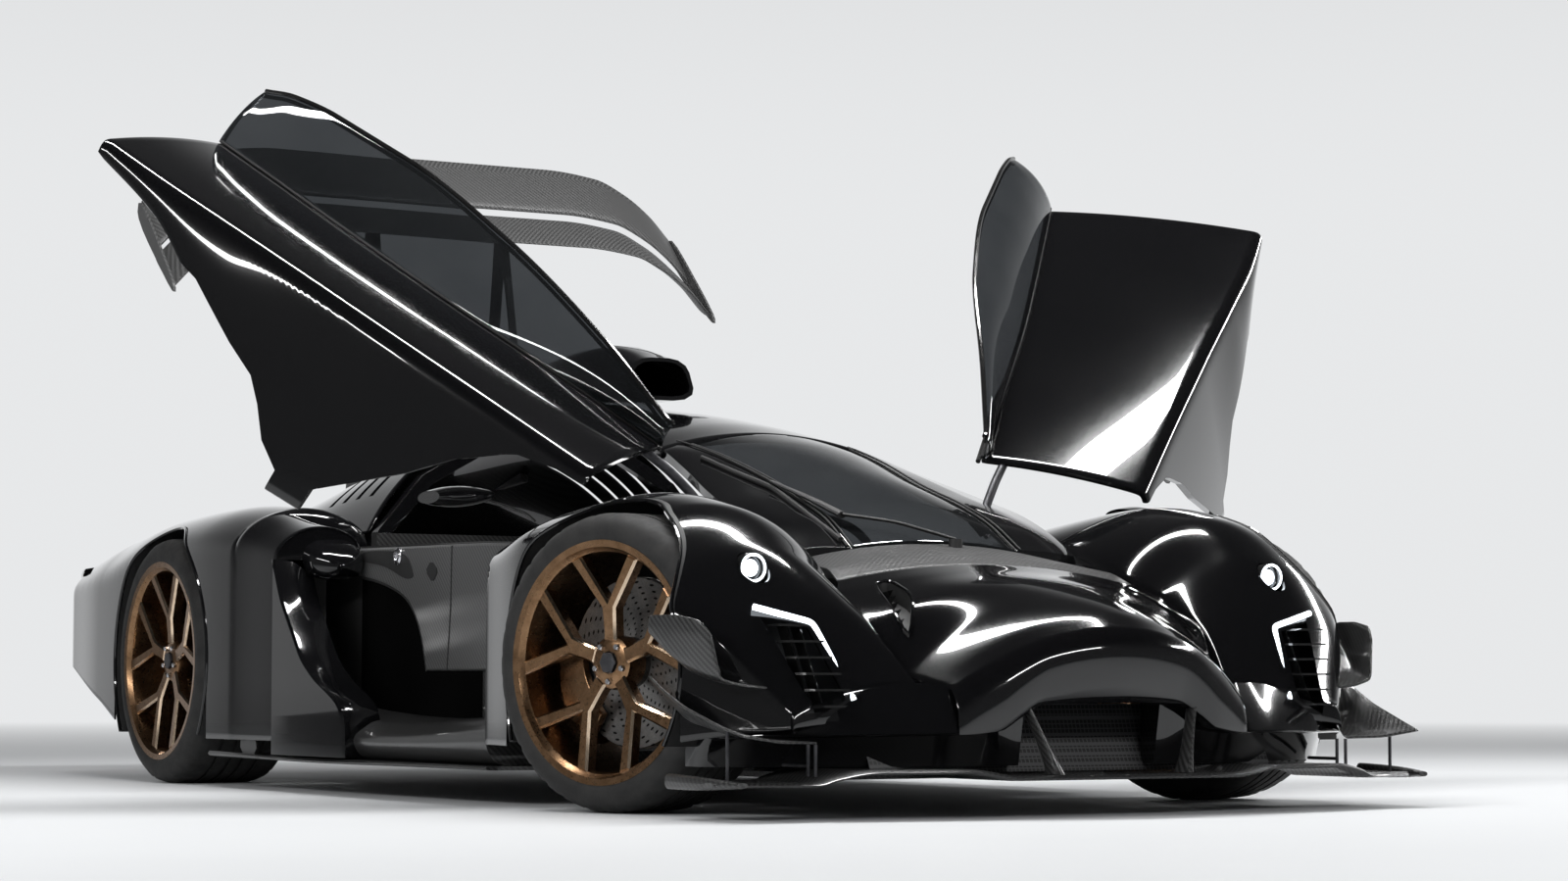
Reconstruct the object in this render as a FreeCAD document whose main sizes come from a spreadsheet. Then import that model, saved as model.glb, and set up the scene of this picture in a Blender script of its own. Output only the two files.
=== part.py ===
import FreeCAD, Part, Sketcher
import math
import os

# A two-seat hypercar in millimetres. +X is forward, +Y is the car's left, +Z is up.
# The origin is on the ground, below the middle of the car. Tables give places measured
# from the front axle (x), the centre plane (y) and the ground (z) of the car as designed.

V = FreeCAD.Vector
doc = FreeCAD.newDocument("hypercar")
sheet = doc.addObject("Spreadsheet::Sheet", "sizes")

SIZES = [
    # name, value
    ("overall_length", 4640),
    ("front_overhang", 830),
    ("wheelbase", 2720),
    ("body_half_width", 992),
    ("roof_height", 1100),
    ("front_tyre_radius", 347),
    ("front_tyre_width", 265),
    ("front_rim_radius", 279),
    ("front_wheel_face", 975),
    ("rear_tyre_radius", 363),
    ("rear_tyre_width", 325),
    ("rear_rim_radius", 290),
    ("rear_wheel_face", 990),
    ("front_ball_offset", 62),
    ("rear_ball_offset", 85),
    ("ball_radius", 18),
    ("ball_height", 163),
    ("steer_at_rest", 18),
    ("front_arch_gap", 50),
    ("rear_arch_gap", 32),
    ("seat_clearance", 0.3),
    ("stub_axle_radius", 30),
    ("hub_radius", 62),
    ("hub_depth", 96),
    ("disc_inset", 110),
    ("disc_radius", 200),
    ("disc_thickness", 34),
    ("skin", 22),
    ("glass_thickness", 5),
    ("door_open_angle", 55.3),
    ("hinge_pin_radius", 9),
    ("hinge_barrel_radius", 17),
    ("splitter_thickness", 14),
    ("canard_thickness", 6),
    ("wing_half_span", 930),
    ("wing_height", 1690),
    ("wing_back", 2770),
    ("strut_spacing", 430),
    ("strut_thickness", 26),
    ("exhaust_radius", 45),
    ("lamp_radius", 34),
]
for row, (name, value) in enumerate(SIZES, start=1):
    sheet.set("A%d" % row, name)
    sheet.set("B%d" % row, str(value))
    sheet.setAlias("B%d" % row, name)
doc.recompute()


class Size(float):
    """A number that keeps its formula in the sheet's cells beside its value."""

    def __new__(cls, value, formula):
        item = float.__new__(cls, value)
        item.formula = formula
        return item

    def __add__(self, other):
        return joined(self, "+", other, float(self) + float(other))

    def __radd__(self, other):
        return joined(other, "+", self, float(other) + float(self))

    def __sub__(self, other):
        return joined(self, "-", other, float(self) - float(other))

    def __rsub__(self, other):
        return joined(other, "-", self, float(other) - float(self))

    def __mul__(self, other):
        return joined(self, "*", other, float(self) * float(other))

    def __rmul__(self, other):
        return joined(other, "*", self, float(other) * float(self))

    def __truediv__(self, other):
        return joined(self, "/", other, float(self) / float(other))

    def __neg__(self):
        return Size(-float(self), "(0 - %s)" % self.formula)


def formula_of(value):
    return value.formula if isinstance(value, Size) else "(%.6f)" % value


def joined(first, sign, second, value):
    return Size(value, "(%s %s %s)" % (formula_of(first), sign, formula_of(second)))


def size(name):
    return Size(getattr(sheet, name), "sizes." + name)


FRONT_AXLE = size("overall_length") / 2 - size("front_overhang")
REAR_AXLE = FRONT_AXLE - size("wheelbase")
SEAT = size("seat_clearance")
SKIN = size("skin")

# The design's own wheelbase, half width and roof, and the zones between which a change is taken up.
DESIGN_WHEELBASE = 2720.0
DESIGN_HALF_WIDTH = 992.0
DESIGN_ROOF = 1100.0
BAY_FRONT = -480.0
BAY_REAR = -2240.0
INNER_ZONE = 300.0
OUTER_ZONE = 600.0
BELT = 760.0


def along(x):
    """Place along the car of a table's x; the bay between the arches stretches with the wheelbase."""
    share = min(1.0, max(0.0, (BAY_FRONT - x) / (BAY_FRONT - BAY_REAR)))
    return FRONT_AXLE + x - (size("wheelbase") - DESIGN_WHEELBASE) * share


def across(y):
    """Place across the car of a table's y; the zone between centre and fenders takes up a change."""
    share = min(1.0, max(0.0, (abs(y) - INNER_ZONE) / (OUTER_ZONE - INNER_ZONE)))
    return y + (size("body_half_width") - DESIGN_HALF_WIDTH) * math.copysign(share, y)


def upward(z):
    """Height of a table's z; above the belt it follows the roof."""
    if z <= BELT:
        return z
    return BELT + (size("roof_height") - BELT) * ((z - BELT) / (DESIGN_ROOF - BELT))


def at(x, y, z):
    return V(along(x), across(y), upward(z))


# Parametric pieces, each bound to the sheet

made = []


def bind(item, values):
    """Sets properties; one that comes from the sheet is bound to its formula."""
    for name, value in values.items():
        if isinstance(value, Size):
            item.setExpression(name, value.formula)
        elif "." not in name:
            setattr(item, name, value)


def put(item, point, axis=V(0, 0, 1), angle=0.0):
    """Places an object, its base and its angle bound to the sheet."""
    item.Placement = FreeCAD.Placement(V(*point), FreeCAD.Rotation(axis, float(angle)))
    bind(item, {"Placement.Base." + letter: value for letter, value in zip("xyz", point)})
    bind(item, {"Placement.Rotation.Angle": angle})
    return item


def block(name, corner, sizes):
    item = doc.addObject("Part::Box", name)
    bind(item, dict(zip(("Length", "Width", "Height"), sizes)))
    return put(item, corner)


TOWARD = {
    # direction: axis and angle that turn +Z to it
    "x": (V(0, 1, 0), 90),
    "y": (V(1, 0, 0), -90),
    "z": (V(0, 0, 1), 0),
}


def rod(name, start, direction, radius, length):
    item = doc.addObject("Part::Cylinder", name)
    bind(item, {"Radius": radius, "Height": length})
    return put(item, start, *TOWARD[direction])


def fused(name, items):
    item = doc.addObject("Part::MultiFuse", name)
    item.Shapes = items
    return item


def less(name, base, tool):
    item = doc.addObject("Part::Cut", name)
    item.Base = base
    item.Tool = tool
    return item


def mirrored(item):
    other = doc.addObject("Part::Mirroring", item.Name + "_mirrored")
    other.Source = item
    other.Base = V(0, 0, 0)
    other.Normal = V(0, 1, 0)
    return other


def together(name, items):
    item = doc.addObject("Part::Compound", name)
    item.Links = items
    return item


def keep(item, label):
    item.Label = label
    made.append(item)
    return item


def drawn(body, plane, points, name, offset=0.0):
    """A closed sketch of lines on one of the body's planes, every corner bound to the sheet."""
    planes = {part.Role: part for part in body.Origin.OriginFeatures}
    sketch = body.newObject("Sketcher::SketchObject", name)
    sketch.AttachmentSupport = [(planes[plane], "")]
    sketch.MapMode = "FlatFace"
    sketch.AttachmentOffset = FreeCAD.Placement(V(0, 0, float(offset)), FreeCAD.Rotation())
    bind(sketch, {"AttachmentOffset.Base.z": offset})
    count = len(points)
    for i, (a, b) in enumerate(points):
        c, d = points[(i + 1) % count]
        sketch.addGeometry(Part.LineSegment(V(float(a), float(b), 0), V(float(c), float(d), 0)), False)
    for i, point in enumerate(points):
        sketch.addConstraint(Sketcher.Constraint("Coincident", i, 2, (i + 1) % count, 1))
        for kind, value in zip(("DistanceX", "DistanceY"), point):
            index = sketch.addConstraint(Sketcher.Constraint(kind, -1, 1, i, 1, float(value)))
            bind(sketch, {"Constraints[%d]" % index: value} if isinstance(value, Size) else {})
    return sketch


def plate(name, plane, points, depth, offset=0.0):
    """An outline pushed along the normal of its plane (+Z, -Y or +X) from an offset on that normal."""
    body = doc.addObject("PartDesign::Body", name)
    pad = body.newObject("PartDesign::Pad", name + "_pad")
    pad.Profile = drawn(body, plane, points, name + "_outline", offset)
    bind(pad, {"Length": depth})
    body.Tip = pad
    return body


def turned(name, points):
    """A half section turned about the Y axis; points are (along the axis, radius)."""
    body = doc.addObject("PartDesign::Body", name)
    planes = {part.Role: part for part in body.Origin.OriginFeatures}
    turn = body.newObject("PartDesign::Revolution", name + "_turn")
    turn.Profile = drawn(body, "YZ_Plane", points, name + "_section")
    turn.ReferenceAxis = (planes["Y_Axis"], [""])
    turn.Angle = 360
    body.Tip = turn
    return body


def spanned(name, stations):
    """A ruled loft across the car through sections in XZ planes; stations are (y, points)."""
    body = doc.addObject("PartDesign::Body", name)
    sections = [drawn(body, "XZ_Plane", points, "%s_%d" % (name, i), -y) for i, (y, points) in enumerate(stations)]
    skin = body.newObject("PartDesign::AdditiveLoft", name + "_loft")
    skin.Profile = sections[0]
    skin.Sections = sections[1:]
    skin.Ruled = True
    body.Tip = skin
    return body


# Freeform panels, from Part's own functions

def wire(points, arcs=()):
    """A closed wire through points; an index in arcs is the middle point of a three point arc."""
    edges = []
    count = len(points)
    i = 0
    while i < count:
        following = points[(i + 1) % count]
        if (i + 1) % count in arcs:
            edges.append(Part.Arc(points[i], following, points[(i + 2) % count]).toShape())
            i += 2
        else:
            edges.append(Part.LineSegment(points[i], following).toShape())
            i += 1
    return Part.Wire(edges)


def loft(sections, arcs=()):
    """A ruled solid through sections, each a list of points with the same arcs."""
    return Part.makeLoft([wire(points, arcs) for points in sections], True, True)


def prism(points, direction):
    return Part.Face(wire(points)).extrude(direction)


def flipped(shape):
    return shape.mirror(V(0, 0, 0), V(0, 1, 0))


def tube(start, end, radius):
    return Part.makeCylinder(radius, (end - start).Length, start, end - start)


def panel(label, shape, placement=None):
    item = doc.addObject("Part::Feature", label)
    item.Shape = shape
    if placement is not None:
        item.Placement = placement
    return keep(item, label)


def panels(label, shape, placements=(None, None)):
    """The same panel on both sides of the car, drawn on the left."""
    panel(label + "_left", shape, placements[0])
    panel(label + "_right", flipped(shape), placements[1])


CROWN = (3,)


def crowned(x, y_in, y_out, z_low, z_in, z_out, y_crown, z_crown):
    """A fender's section: flat below, straight sides and one arc over the crown."""
    return [
        at(x, y_in, z_low),
        at(x, y_out, z_low),
        at(x, y_out, z_out),
        at(x, y_crown, z_crown),
        at(x, y_in, z_in),
    ]


def inset(row, skin, drop):
    """The same section's inner side, open below."""
    x, y_in, y_out, z_low, z_in, z_out, y_crown, z_crown = row
    return (x, y_in + skin, y_out - skin, z_low - drop, z_in - skin, z_out - skin, y_crown, z_crown - skin)


def fender_shell(stations):
    """A fender with an even skin, walls at both ends and no floor."""
    skin = float(SKIN)
    inner = [inset(row, skin, 60.0) for row in stations]
    first = (inner[0][0] - skin,) + inner[0][1:]
    last = (inner[-1][0] + skin,) + inner[-1][1:]
    outside = loft([crowned(*row) for row in stations], CROWN)
    return outside.cut(loft([crowned(*row) for row in [first] + inner[1:-1] + [last]], CROWN))


def arch(axle_x, radius, height, y_from):
    """The round wheel housing and the open space below it."""
    depth = 900.0
    drum = Part.makeCylinder(radius, depth, V(axle_x, y_from, height), V(0, 1, 0))
    below = Part.makeBox(2 * radius, depth, height + 10, V(axle_x - radius, y_from, -10))
    return drum.fuse(below)


LAMP = (332, 740, 560)
LAMP_DEPTH = 52.0


def bars(extra):
    """The light bar: over the grille from its outer corner and down its inner edge."""
    outer, corner, lower = at(470, 790, 470), at(500, 655, 436), at(610, 613, 262)
    return tube(outer, corner, 7 + extra).fuse(tube(corner, lower, 7 + extra))


GRILLE = [
    # y, z of the opening below the lamp
    (776, 448),
    (672, 424),
    (634, 262),
    (712, 224),
]
GRILLE_FRONT = 660
GRILLE_DEPTH = 230


def grille_prism(trim):
    """The opening below the lamp, or what fits in it with a gap all round."""
    middle_y = sum(y for y, z in GRILLE) / len(GRILLE)
    middle_z = sum(z for y, z in GRILLE) / len(GRILLE)
    corners = []
    for y, z in GRILLE:
        corners.append(at(GRILLE_FRONT, y + math.copysign(trim, middle_y - y), z + math.copysign(trim, middle_z - z)))
    return prism(corners, V(-GRILLE_DEPTH, 0, 0))


def front_fenders():
    stations = [
        # x, y_in, y_out, z_low, z_in, z_out, y_crown, z_crown
        (-556, 478, 950, 150, 632, 600, 760, 690),
        (-300, 460, 985, 150, 636, 640, 780, 728),
        (-50, 440, 992, 150, 610, 640, 793, 745),
        (150, 425, 990, 150, 565, 600, 790, 712),
        (320, 466, 970, 160, 500, 500, 770, 615),
        (450, 466, 900, 180, 440, 420, 740, 490),
        (600, 436, 770, 200, 300, 240, 640, 290),
    ]
    arch_drop = 17.0
    radius = size("front_tyre_radius") + size("front_arch_gap")
    body = fender_shell(stations).cut(arch(FRONT_AXLE, radius, size("front_tyre_radius") - arch_drop, 380))
    lamp = Part.makeCylinder(size("lamp_radius") + SEAT, LAMP_DEPTH + 60, at(*LAMP) - V(SEAT, 0, 0), V(1, 0, 0))
    panels("front_fender", body.cut([lamp, bars(float(SEAT)), grille_prism(0.0)]))


def louvres():
    """Slats across the opening below each lamp, on two upright ribs."""
    slats = []
    for step in range(6):
        z = 246 + 36 * step
        slat = Part.makeBox(46, 200, 5, at(626 - 0.62 * (z - 224), 600, z))
        slats.append(slat)
    for y in (672, 706):
        slats.append(prism([at(566, y, 200), at(606, y, 200), at(466, y, 450), at(426, y, 450)], V(0, 4, 0)))
    grille = slats[0].fuse(slats[1:]).common(grille_prism(float(SEAT)))
    panel("lamp_louvres", Part.Compound([grille, flipped(grille)]))


def headlamps():
    x, y, z = LAMP
    lamp = rod("lamp_barrel", [along(x), across(y), float(z)], "x", size("lamp_radius"), LAMP_DEPTH)
    bar = doc.addObject("Part::Feature", "lamp_bar")
    bar.Shape = bars(0.0)
    keep(together("headlamps", [lamp, mirrored(lamp), bar, mirrored(bar)]), "headlamps")


def nose():
    stations = [
        # x, half width, z_low, z_edge, z_crown
        (236, 424, 470, 540, 584),
        (320, 465, 430, 500, 565),
        (450, 465, 370, 440, 540),
        (600, 435, 250, 300, 495),
        (700, 400, 248, 290, 455),
        (775, 330, 248, 285, 400),
    ]

    def section(x, half, z_low, z_edge, z_crown):
        return [at(x, -half, z_low), at(x, half, z_low), at(x, half, z_edge), at(x, 0, z_crown), at(x, -half, z_edge)]

    skin = float(SKIN)
    inner = [(x, half - skin, z_low - 40, z_edge - skin, z_crown - skin) for x, half, z_low, z_edge, z_crown in stations]
    inner[0] = (stations[0][0] - 1,) + inner[0][1:]
    inner[-1] = (stations[-1][0] - 40,) + inner[-1][1:]
    body = loft([section(*row) for row in stations], CROWN).cut(loft([section(*row) for row in inner], CROWN))
    outlet = prism([at(545, 425, 300), at(420, 330, 300), at(290, 318, 300), at(300, 372, 300)], V(0, 0, 300))
    boss = Part.makeBox(40, 60, 60, at(715, 200, 262)).fuse(Part.makeBox(40, 60, 60, at(745, 200, 262)))
    boss = boss.common(loft([section(*row) for row in stations], CROWN))
    tow = Part.makeCylinder(9, 70, at(715, 230, 292), V(1, 0, 0))
    panel("nose", body.cut([outlet, flipped(outlet)]).fuse(boss).cut(tow))


def splitter():
    thick = size("splitter_thickness")
    stations = [
        # y, z of the underside, x of the front edge
        (0, 82, 830),
        (300, 82, 824),
        (430, 98, 806),
        (640, 98, 762),
        (730, 84, 742),
        (770, 72, 728),
        (985, 72, 640),
    ]
    rows = [(-y, z, x) for y, z, x in reversed(stations[1:])] + stations
    sections = []
    for y, z, x in rows:
        back = along(300 if abs(y) < 500 else 430)
        front = along(x)
        sections.append((across(y), [(back, z), (front, z), (front, z + thick), (back, z + thick)]))
    main = spanned("splitter_blade", sections)
    canards = []
    for tag, z, outline in (
        ("upper", 290.0, [(420, 985), (560, 960), (655, 850), (600, 772), (448, 905)]),
        ("lower", 165.0, [(420, 985), (640, 960), (790, 800), (640, 730), (448, 876)]),
    ):
        points = [(along(x), across(y)) for x, y in outline]
        wing = plate("canard_" + tag, "XY_Plane", points, size("canard_thickness"), z)
        canards += [wing, mirrored(wing)]
    stay = rod("splitter_stay", [along(660), across(742), 84.0 + thick], "z", 5.0, 165.0 - 84.0 - thick)
    keep(together("splitter", [main] + canards + [stay, mirrored(stay)]), "splitter")


def bumper():
    """The lower front: corners under the lamps and the two struts of the central intake."""
    corner = loft([
        [at(452, 470, 112.3), at(452, 876, 112.3), at(452, 876, 164), at(452, 470, 178)],
        [at(600, 330, 112.3), at(600, 722, 112.3), at(600, 722, 198), at(600, 330, 198)],
        [at(700, 300, 190), at(700, 400, 190), at(700, 400, 245), at(700, 300, 245)],
    ])
    strut = loft([
        [at(700, 205, 96.3), at(700, 230, 96.3), at(700, 250, 247.7), at(700, 225, 247.7)],
        [at(785, 175, 96.3), at(785, 190, 96.3), at(760, 240, 247.7), at(760, 222, 247.7)],
    ])
    panel("bumper", Part.Compound([corner, flipped(corner), strut, flipped(strut)]))


TUB_SILL = 560
TUB_SIDE = 700


def tub():
    """The carbon tub: floor, footwell, side sills with the latch plates, and the two bulkheads."""
    side_depth = across(TUB_SIDE) - across(TUB_SILL)
    floor = block("tub_floor", [along(-2140), -across(TUB_SIDE), 90.0],
                  [along(-480) - along(-2140), across(TUB_SIDE) * 2, 40.0])
    footwell = block("tub_footwell", [along(-480), -across(400), 90.0],
                     [along(-200) - along(-480), across(400) * 2, 40.0])
    outline = [(-2140, 130), (-600, 130), (-600, 640), (-700, 655), (-1100, 670), (-2140, 685)]
    side = plate("tub_side", "XZ_Plane", [(along(x), float(z)) for x, z in outline], side_depth, -across(TUB_SIDE))
    latch = rod("tub_latch", [along(-1772), across(TUB_SIDE) - 1, 644.0], "y", 16.0, 14.0)
    front = block("tub_front", [along(-240), -across(400), 90.0], [40.0, across(400) * 2, 430.0])
    rear = block("tub_rear", [along(-2140), -across(TUB_SILL), 90.0], [40.0, across(TUB_SILL) * 2, 640.0])
    keep(fused("tub", [floor, footwell, side, mirrored(side), latch, mirrored(latch), front, rear]), "tub")


def arched_sheet(stations, thickness):
    """A sheet over the car with one arc from side to side; stations are (x, half width, z_edge, z_crown)."""
    sections = []
    for x, half, z_edge, z_crown in stations:
        sections.append([at(x, half, z_edge), at(x, 0, z_crown), at(x, -half, z_edge),
                         at(x, -half, z_edge - thickness), at(x, 0, z_crown - thickness), at(x, half, z_edge - thickness)])
    return loft(sections, (1, 4))


def cowl():
    panel("cowl", arched_sheet([(158, 395, 574, 603), (236 - float(SEAT), 424, 540, 584)], 12.0))


def windscreen():
    stations = [
        # x, half width, z_edge, z_crown
        (150, 370, 606, 624),
        (-250, 396, 735, 815),
        (-789, 310, 905, 957),
    ]
    panel("windscreen", arched_sheet(stations, float(size("glass_thickness"))))


DOOR_HINGE = (-417, 410, 710)
DOOR_AXIS = V(-0.197, -0.555, 0.808).normalize()


def roof_frame():
    """Pillars beside the windscreen, the roof panel and the rear hoop, with the doors' hinge pins."""
    gap = float(SEAT)
    pillar = loft([
        [at(x, y + gap, z - 26), at(x, y + width, z - 30), at(x, y + width, z - 2), at(x, y + gap, z + 4)]
        for x, y, width, z in ((150, 370, 40, 606), (-250, 396, 42, 735), (-789, 310, 37, 905), (-840, 300, 34, 914))
    ])
    roof = arched_sheet([
        (-789 - gap, 355, 900, 957), (-1000, 304, 958, 1002), (-1300, 244, 1020, 1050),
        (-1650, 210, 1058, 1084), (-2140, 210, 1064, 1090)], 26.0)
    hoop = prism([at(-2100, 560, 732), at(-2100, 420, 900), at(-2100, 150, 1056), at(-2100, 0, 1056),
                  at(-2100, 0, 1016), at(-2100, 130, 1016), at(-2100, 380, 880), at(-2100, 510, 732)], V(-40, 0, 0))
    hinge = at(*DOOR_HINGE)
    pin = tube(hinge - DOOR_AXIS * 40, hinge + DOOR_AXIS * 72, size("hinge_pin_radius"))
    panel("roof_frame", roof.fuse([pillar, flipped(pillar), hoop, flipped(hoop), pin, flipped(pin)]))


def roof_scoop():
    """The intake on the roof, open in front, that feeds the engine."""
    stations = [
        # x, half width at the foot, half width at the top, z_foot, z_top
        (-1420, 120, 84, 1092, 1212),
        (-1700, 124, 80, 1092, 1268),
        (-2140, 130, 60, 1092, 1230),
        (-2158, 130, 58, 1092, 1226),
    ]

    def section(x, foot, top, z_foot, z_top):
        return [at(x, -foot, z_foot), at(x, foot, z_foot), at(x, top, z_top), at(x, -top, z_top)]

    shell = loft([section(*row) for row in stations])
    duct = [(x, foot - 16, top - 12, z_foot + 14, z_top - 12) for x, foot, top, z_foot, z_top in stations[:3]]
    duct[0] = (stations[0][0] + 1,) + duct[0][1:]
    panel("roof_scoop", shell.cut(loft([section(*row) for row in duct])))


def cover_section(x, half, z_low, z_edge, z_crown):
    return [at(x, -half, z_low), at(x, half, z_low), at(x, half, z_edge), at(x, 0, z_crown), at(x, -half, z_edge)]


COVER_STATIONS = [
    # x, half width, z_low, z_edge, z_crown
    (-2160, 560, 700, 740, 1090),
    (-2500, 560, 700, 740, 1050),
    (-3000, 560, 690, 740, 930),
    (-3500, 560, 690, 720, 790),
    (-3649, 560, 690, 712, 740),
]


def engine_cover():
    body = loft([cover_section(*row) for row in COVER_STATIONS], CROWN)
    inner = [(x, half - 40, z_low - 30, z_edge - 20, z_crown - 26) for x, half, z_low, z_edge, z_crown in COVER_STATIONS]
    body = body.cut(loft([cover_section(*row) for row in inner], CROWN))
    for x in (-2330, -2430, -2530, -2630):
        slot = Part.makeBox(36, 300, 400, at(x, 190, 760))
        body = body.cut([slot, flipped(slot)])
    panel("engine_cover", body)


def rear_fenders():
    stations = [
        # x, y_in, y_out, z_low, z_in, z_out, y_crown, z_crown
        (-1880, 706, 965, 140, 690, 660, 900, 718),
        (-2145, 706, 983, 140, 720, 688, 850, 782),
        (-2160, 560.3, 985, 140, 730, 690, 850, 785),
        (-2450, 560.3, 992, 140, 740, 700, 850, 803),
        (-2900, 560.3, 988, 140, 730, 680, 850, 785),
        (-3300, 560.3, 970, 250, 700, 620, 850, 735),
        (-3649, 560.3, 930, 350, 680, 600, 800, 700),
    ]
    radius = size("rear_tyre_radius") + size("rear_arch_gap")
    panels("rear_fender", fender_shell(stations).cut(arch(REAR_AXLE, radius, size("rear_tyre_radius"), 540)))


def rear_fascia():
    """The tail panel with the two outlets, the number plate's holes and the lamp strip's groove."""
    gap = float(SEAT)
    panel_solid = loft([
        [at(-3649 - gap, -900, 380), at(-3649 - gap, 900, 380), at(-3649 - gap, 900, 680), at(-3649 - gap, -900, 680)],
        [at(-3740, -860, 400), at(-3740, 860, 400), at(-3740, 860, 672), at(-3740, -860, 672)],
    ])
    holes = [Part.makeCylinder(3, 200, at(-3800, y, 470), V(1, 0, 0)) for y in (-150, 150)]
    for y in (-60, 60):
        holes.append(Part.makeCylinder(size("exhaust_radius") + SEAT, 200, at(-3800, y, 560), V(1, 0, 0)))
    for z in (420, 500, 580):
        slot = Part.makeBox(200, across(790) - across(330), 46, at(-3800, 330, z))
        holes += [slot, flipped(slot)]
    groove = Part.makeBox(10 + gap, 2 * across(820) + 2 * gap, 18 + 2 * gap, at(-3740, -820 - gap, 640 - gap))
    panel("rear_fascia", panel_solid.cut(holes + [groove]))
    keep(block("tail_lamp", [along(-3744), -across(820), 640.0], [14.0, across(820) * 2, 18.0]), "tail_lamp")


def underbody():
    """The floor, the diffuser's ramp and its fins."""
    wide = across(500) * 2
    low = 76.0
    floor = block("floor", [along(-3000), -across(500), low], [along(299) - along(-3000), wide, 14.0])
    ramp = plate("ramp", "XZ_Plane", [(along(-3000), low), (along(-3000), low + 14), (along(-3790), 330.0),
                                      (along(-3800), 316.0)], wide, -across(500))
    fins = []
    for i, y in enumerate((-496, -250, 0, 250, 488)):
        outline = [(-3020, low + 2), (-3020, low + 12), (-3780, 318), (-3780, 190)]
        fins.append(plate("fin_%d" % i, "XZ_Plane", [(along(x), float(z)) for x, z in outline], 8.0, -across(y) - 8))
    keep(fused("underbody", [floor, ramp] + fins), "underbody")


def side_panels():
    """Sills with the skirt blade and the quarter behind the door, whose slanted edge is the intake's lip."""
    outer = across(985)
    inner = across(TUB_SIDE) + SEAT
    quarter_outline = [(-1470, 95), (-1470, 235), (-1530, 275), (-1700, 420), (-1856, 566), (-1879, 600), (-1879, 95)]
    sill = block("sill", [along(-1879), inner, 95.0], [along(-570) - along(-1879), outer - 22 - inner, 140.0])
    quarter = plate("quarter", "XZ_Plane", [(along(x), float(z)) for x, z in quarter_outline], 45.0, -outer + 12)
    skirt = plate("skirt", "XY_Plane", [(along(x), across(y)) for x, y in (
        (-2286, 730), (-2286, 1000), (-560, 1000), (-524, 985), (-524, 730))], 12.0, 84.0)
    left = fused("side_panel_base", [sill, quarter, skirt])
    keep(left, "side_panel_left")
    keep(mirrored(left), "side_panel_right")


def door_places():
    """The open position of both doors: turned about the hinge axis at the pillar."""
    hinge = at(*DOOR_HINGE)
    angle = float(size("door_open_angle"))
    left = FreeCAD.Placement(V(0, 0, 0), FreeCAD.Rotation(DOOR_AXIS, -angle), hinge)
    axis = V(DOOR_AXIS.x, -DOOR_AXIS.y, DOOR_AXIS.z)
    right = FreeCAD.Placement(V(0, 0, 0), FreeCAD.Rotation(axis, angle), V(hinge.x, -hinge.y, hinge.z))
    return left, right


DOOR_STATIONS = [
    # x, y_belt, z_belt, y_shoulder, z_shoulder, y_low, z_low
    (-620, 390, 800, 820, 706, 850, 270),
    (-900, 385, 812, 845, 722, 880, 270),
    (-1300, 378, 824, 885, 744, 920, 270),
    (-1650, 358, 838, 920, 764, 950, 560),
    (-1880, 342, 850, 938, 776, 955, 700),
    (-2092, 326, 860, 948, 790, 956, 756),
]
DOOR_FRONT_EDGE = [
    # x, z of the slanted cut
    (-400, 0), (-400, 672), (-700, 672), (-800, 653), (-830, 636), (-925, 566), (-1010, 474), (-1190, 320), (-1210, 0),
]
DOOR_REAR_EDGE = [
    # x, z of the cut over the side intake
    (-1290, 0), (-1290, 314), (-1356, 360), (-1410, 430), (-1460, 482), (-1545, 523), (-1700, 613), (-2120, 720), (-2120, 0),
]


def door_station(x):
    """The door's section at any x between two stations."""
    for first, second in zip(DOOR_STATIONS, DOOR_STATIONS[1:]):
        if second[0] <= x <= first[0]:
            share = (first[0] - x) / (first[0] - second[0])
            return tuple(a + (b - a) * share for a, b in zip(first, second))


def door_shell(outer, inner, stations):
    """The door's folded sheet between two depths below its outer face."""
    sections = []
    for x, yb, zb, ys, zs, yl, zl in stations:
        sections.append([at(x, yb, zb - outer), at(x, ys - outer, zs - outer), at(x, yl - outer, zl),
                         at(x, yl - inner, zl), at(x, ys - inner, zs - inner), at(x, yb, zb - inner)])
    shell = loft(sections)
    for edge in (DOOR_FRONT_EDGE, DOOR_REAR_EDGE):
        shell = shell.cut(prism([at(x, 600, z) for x, z in edge], V(0, 500, 0)))
    return shell


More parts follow.
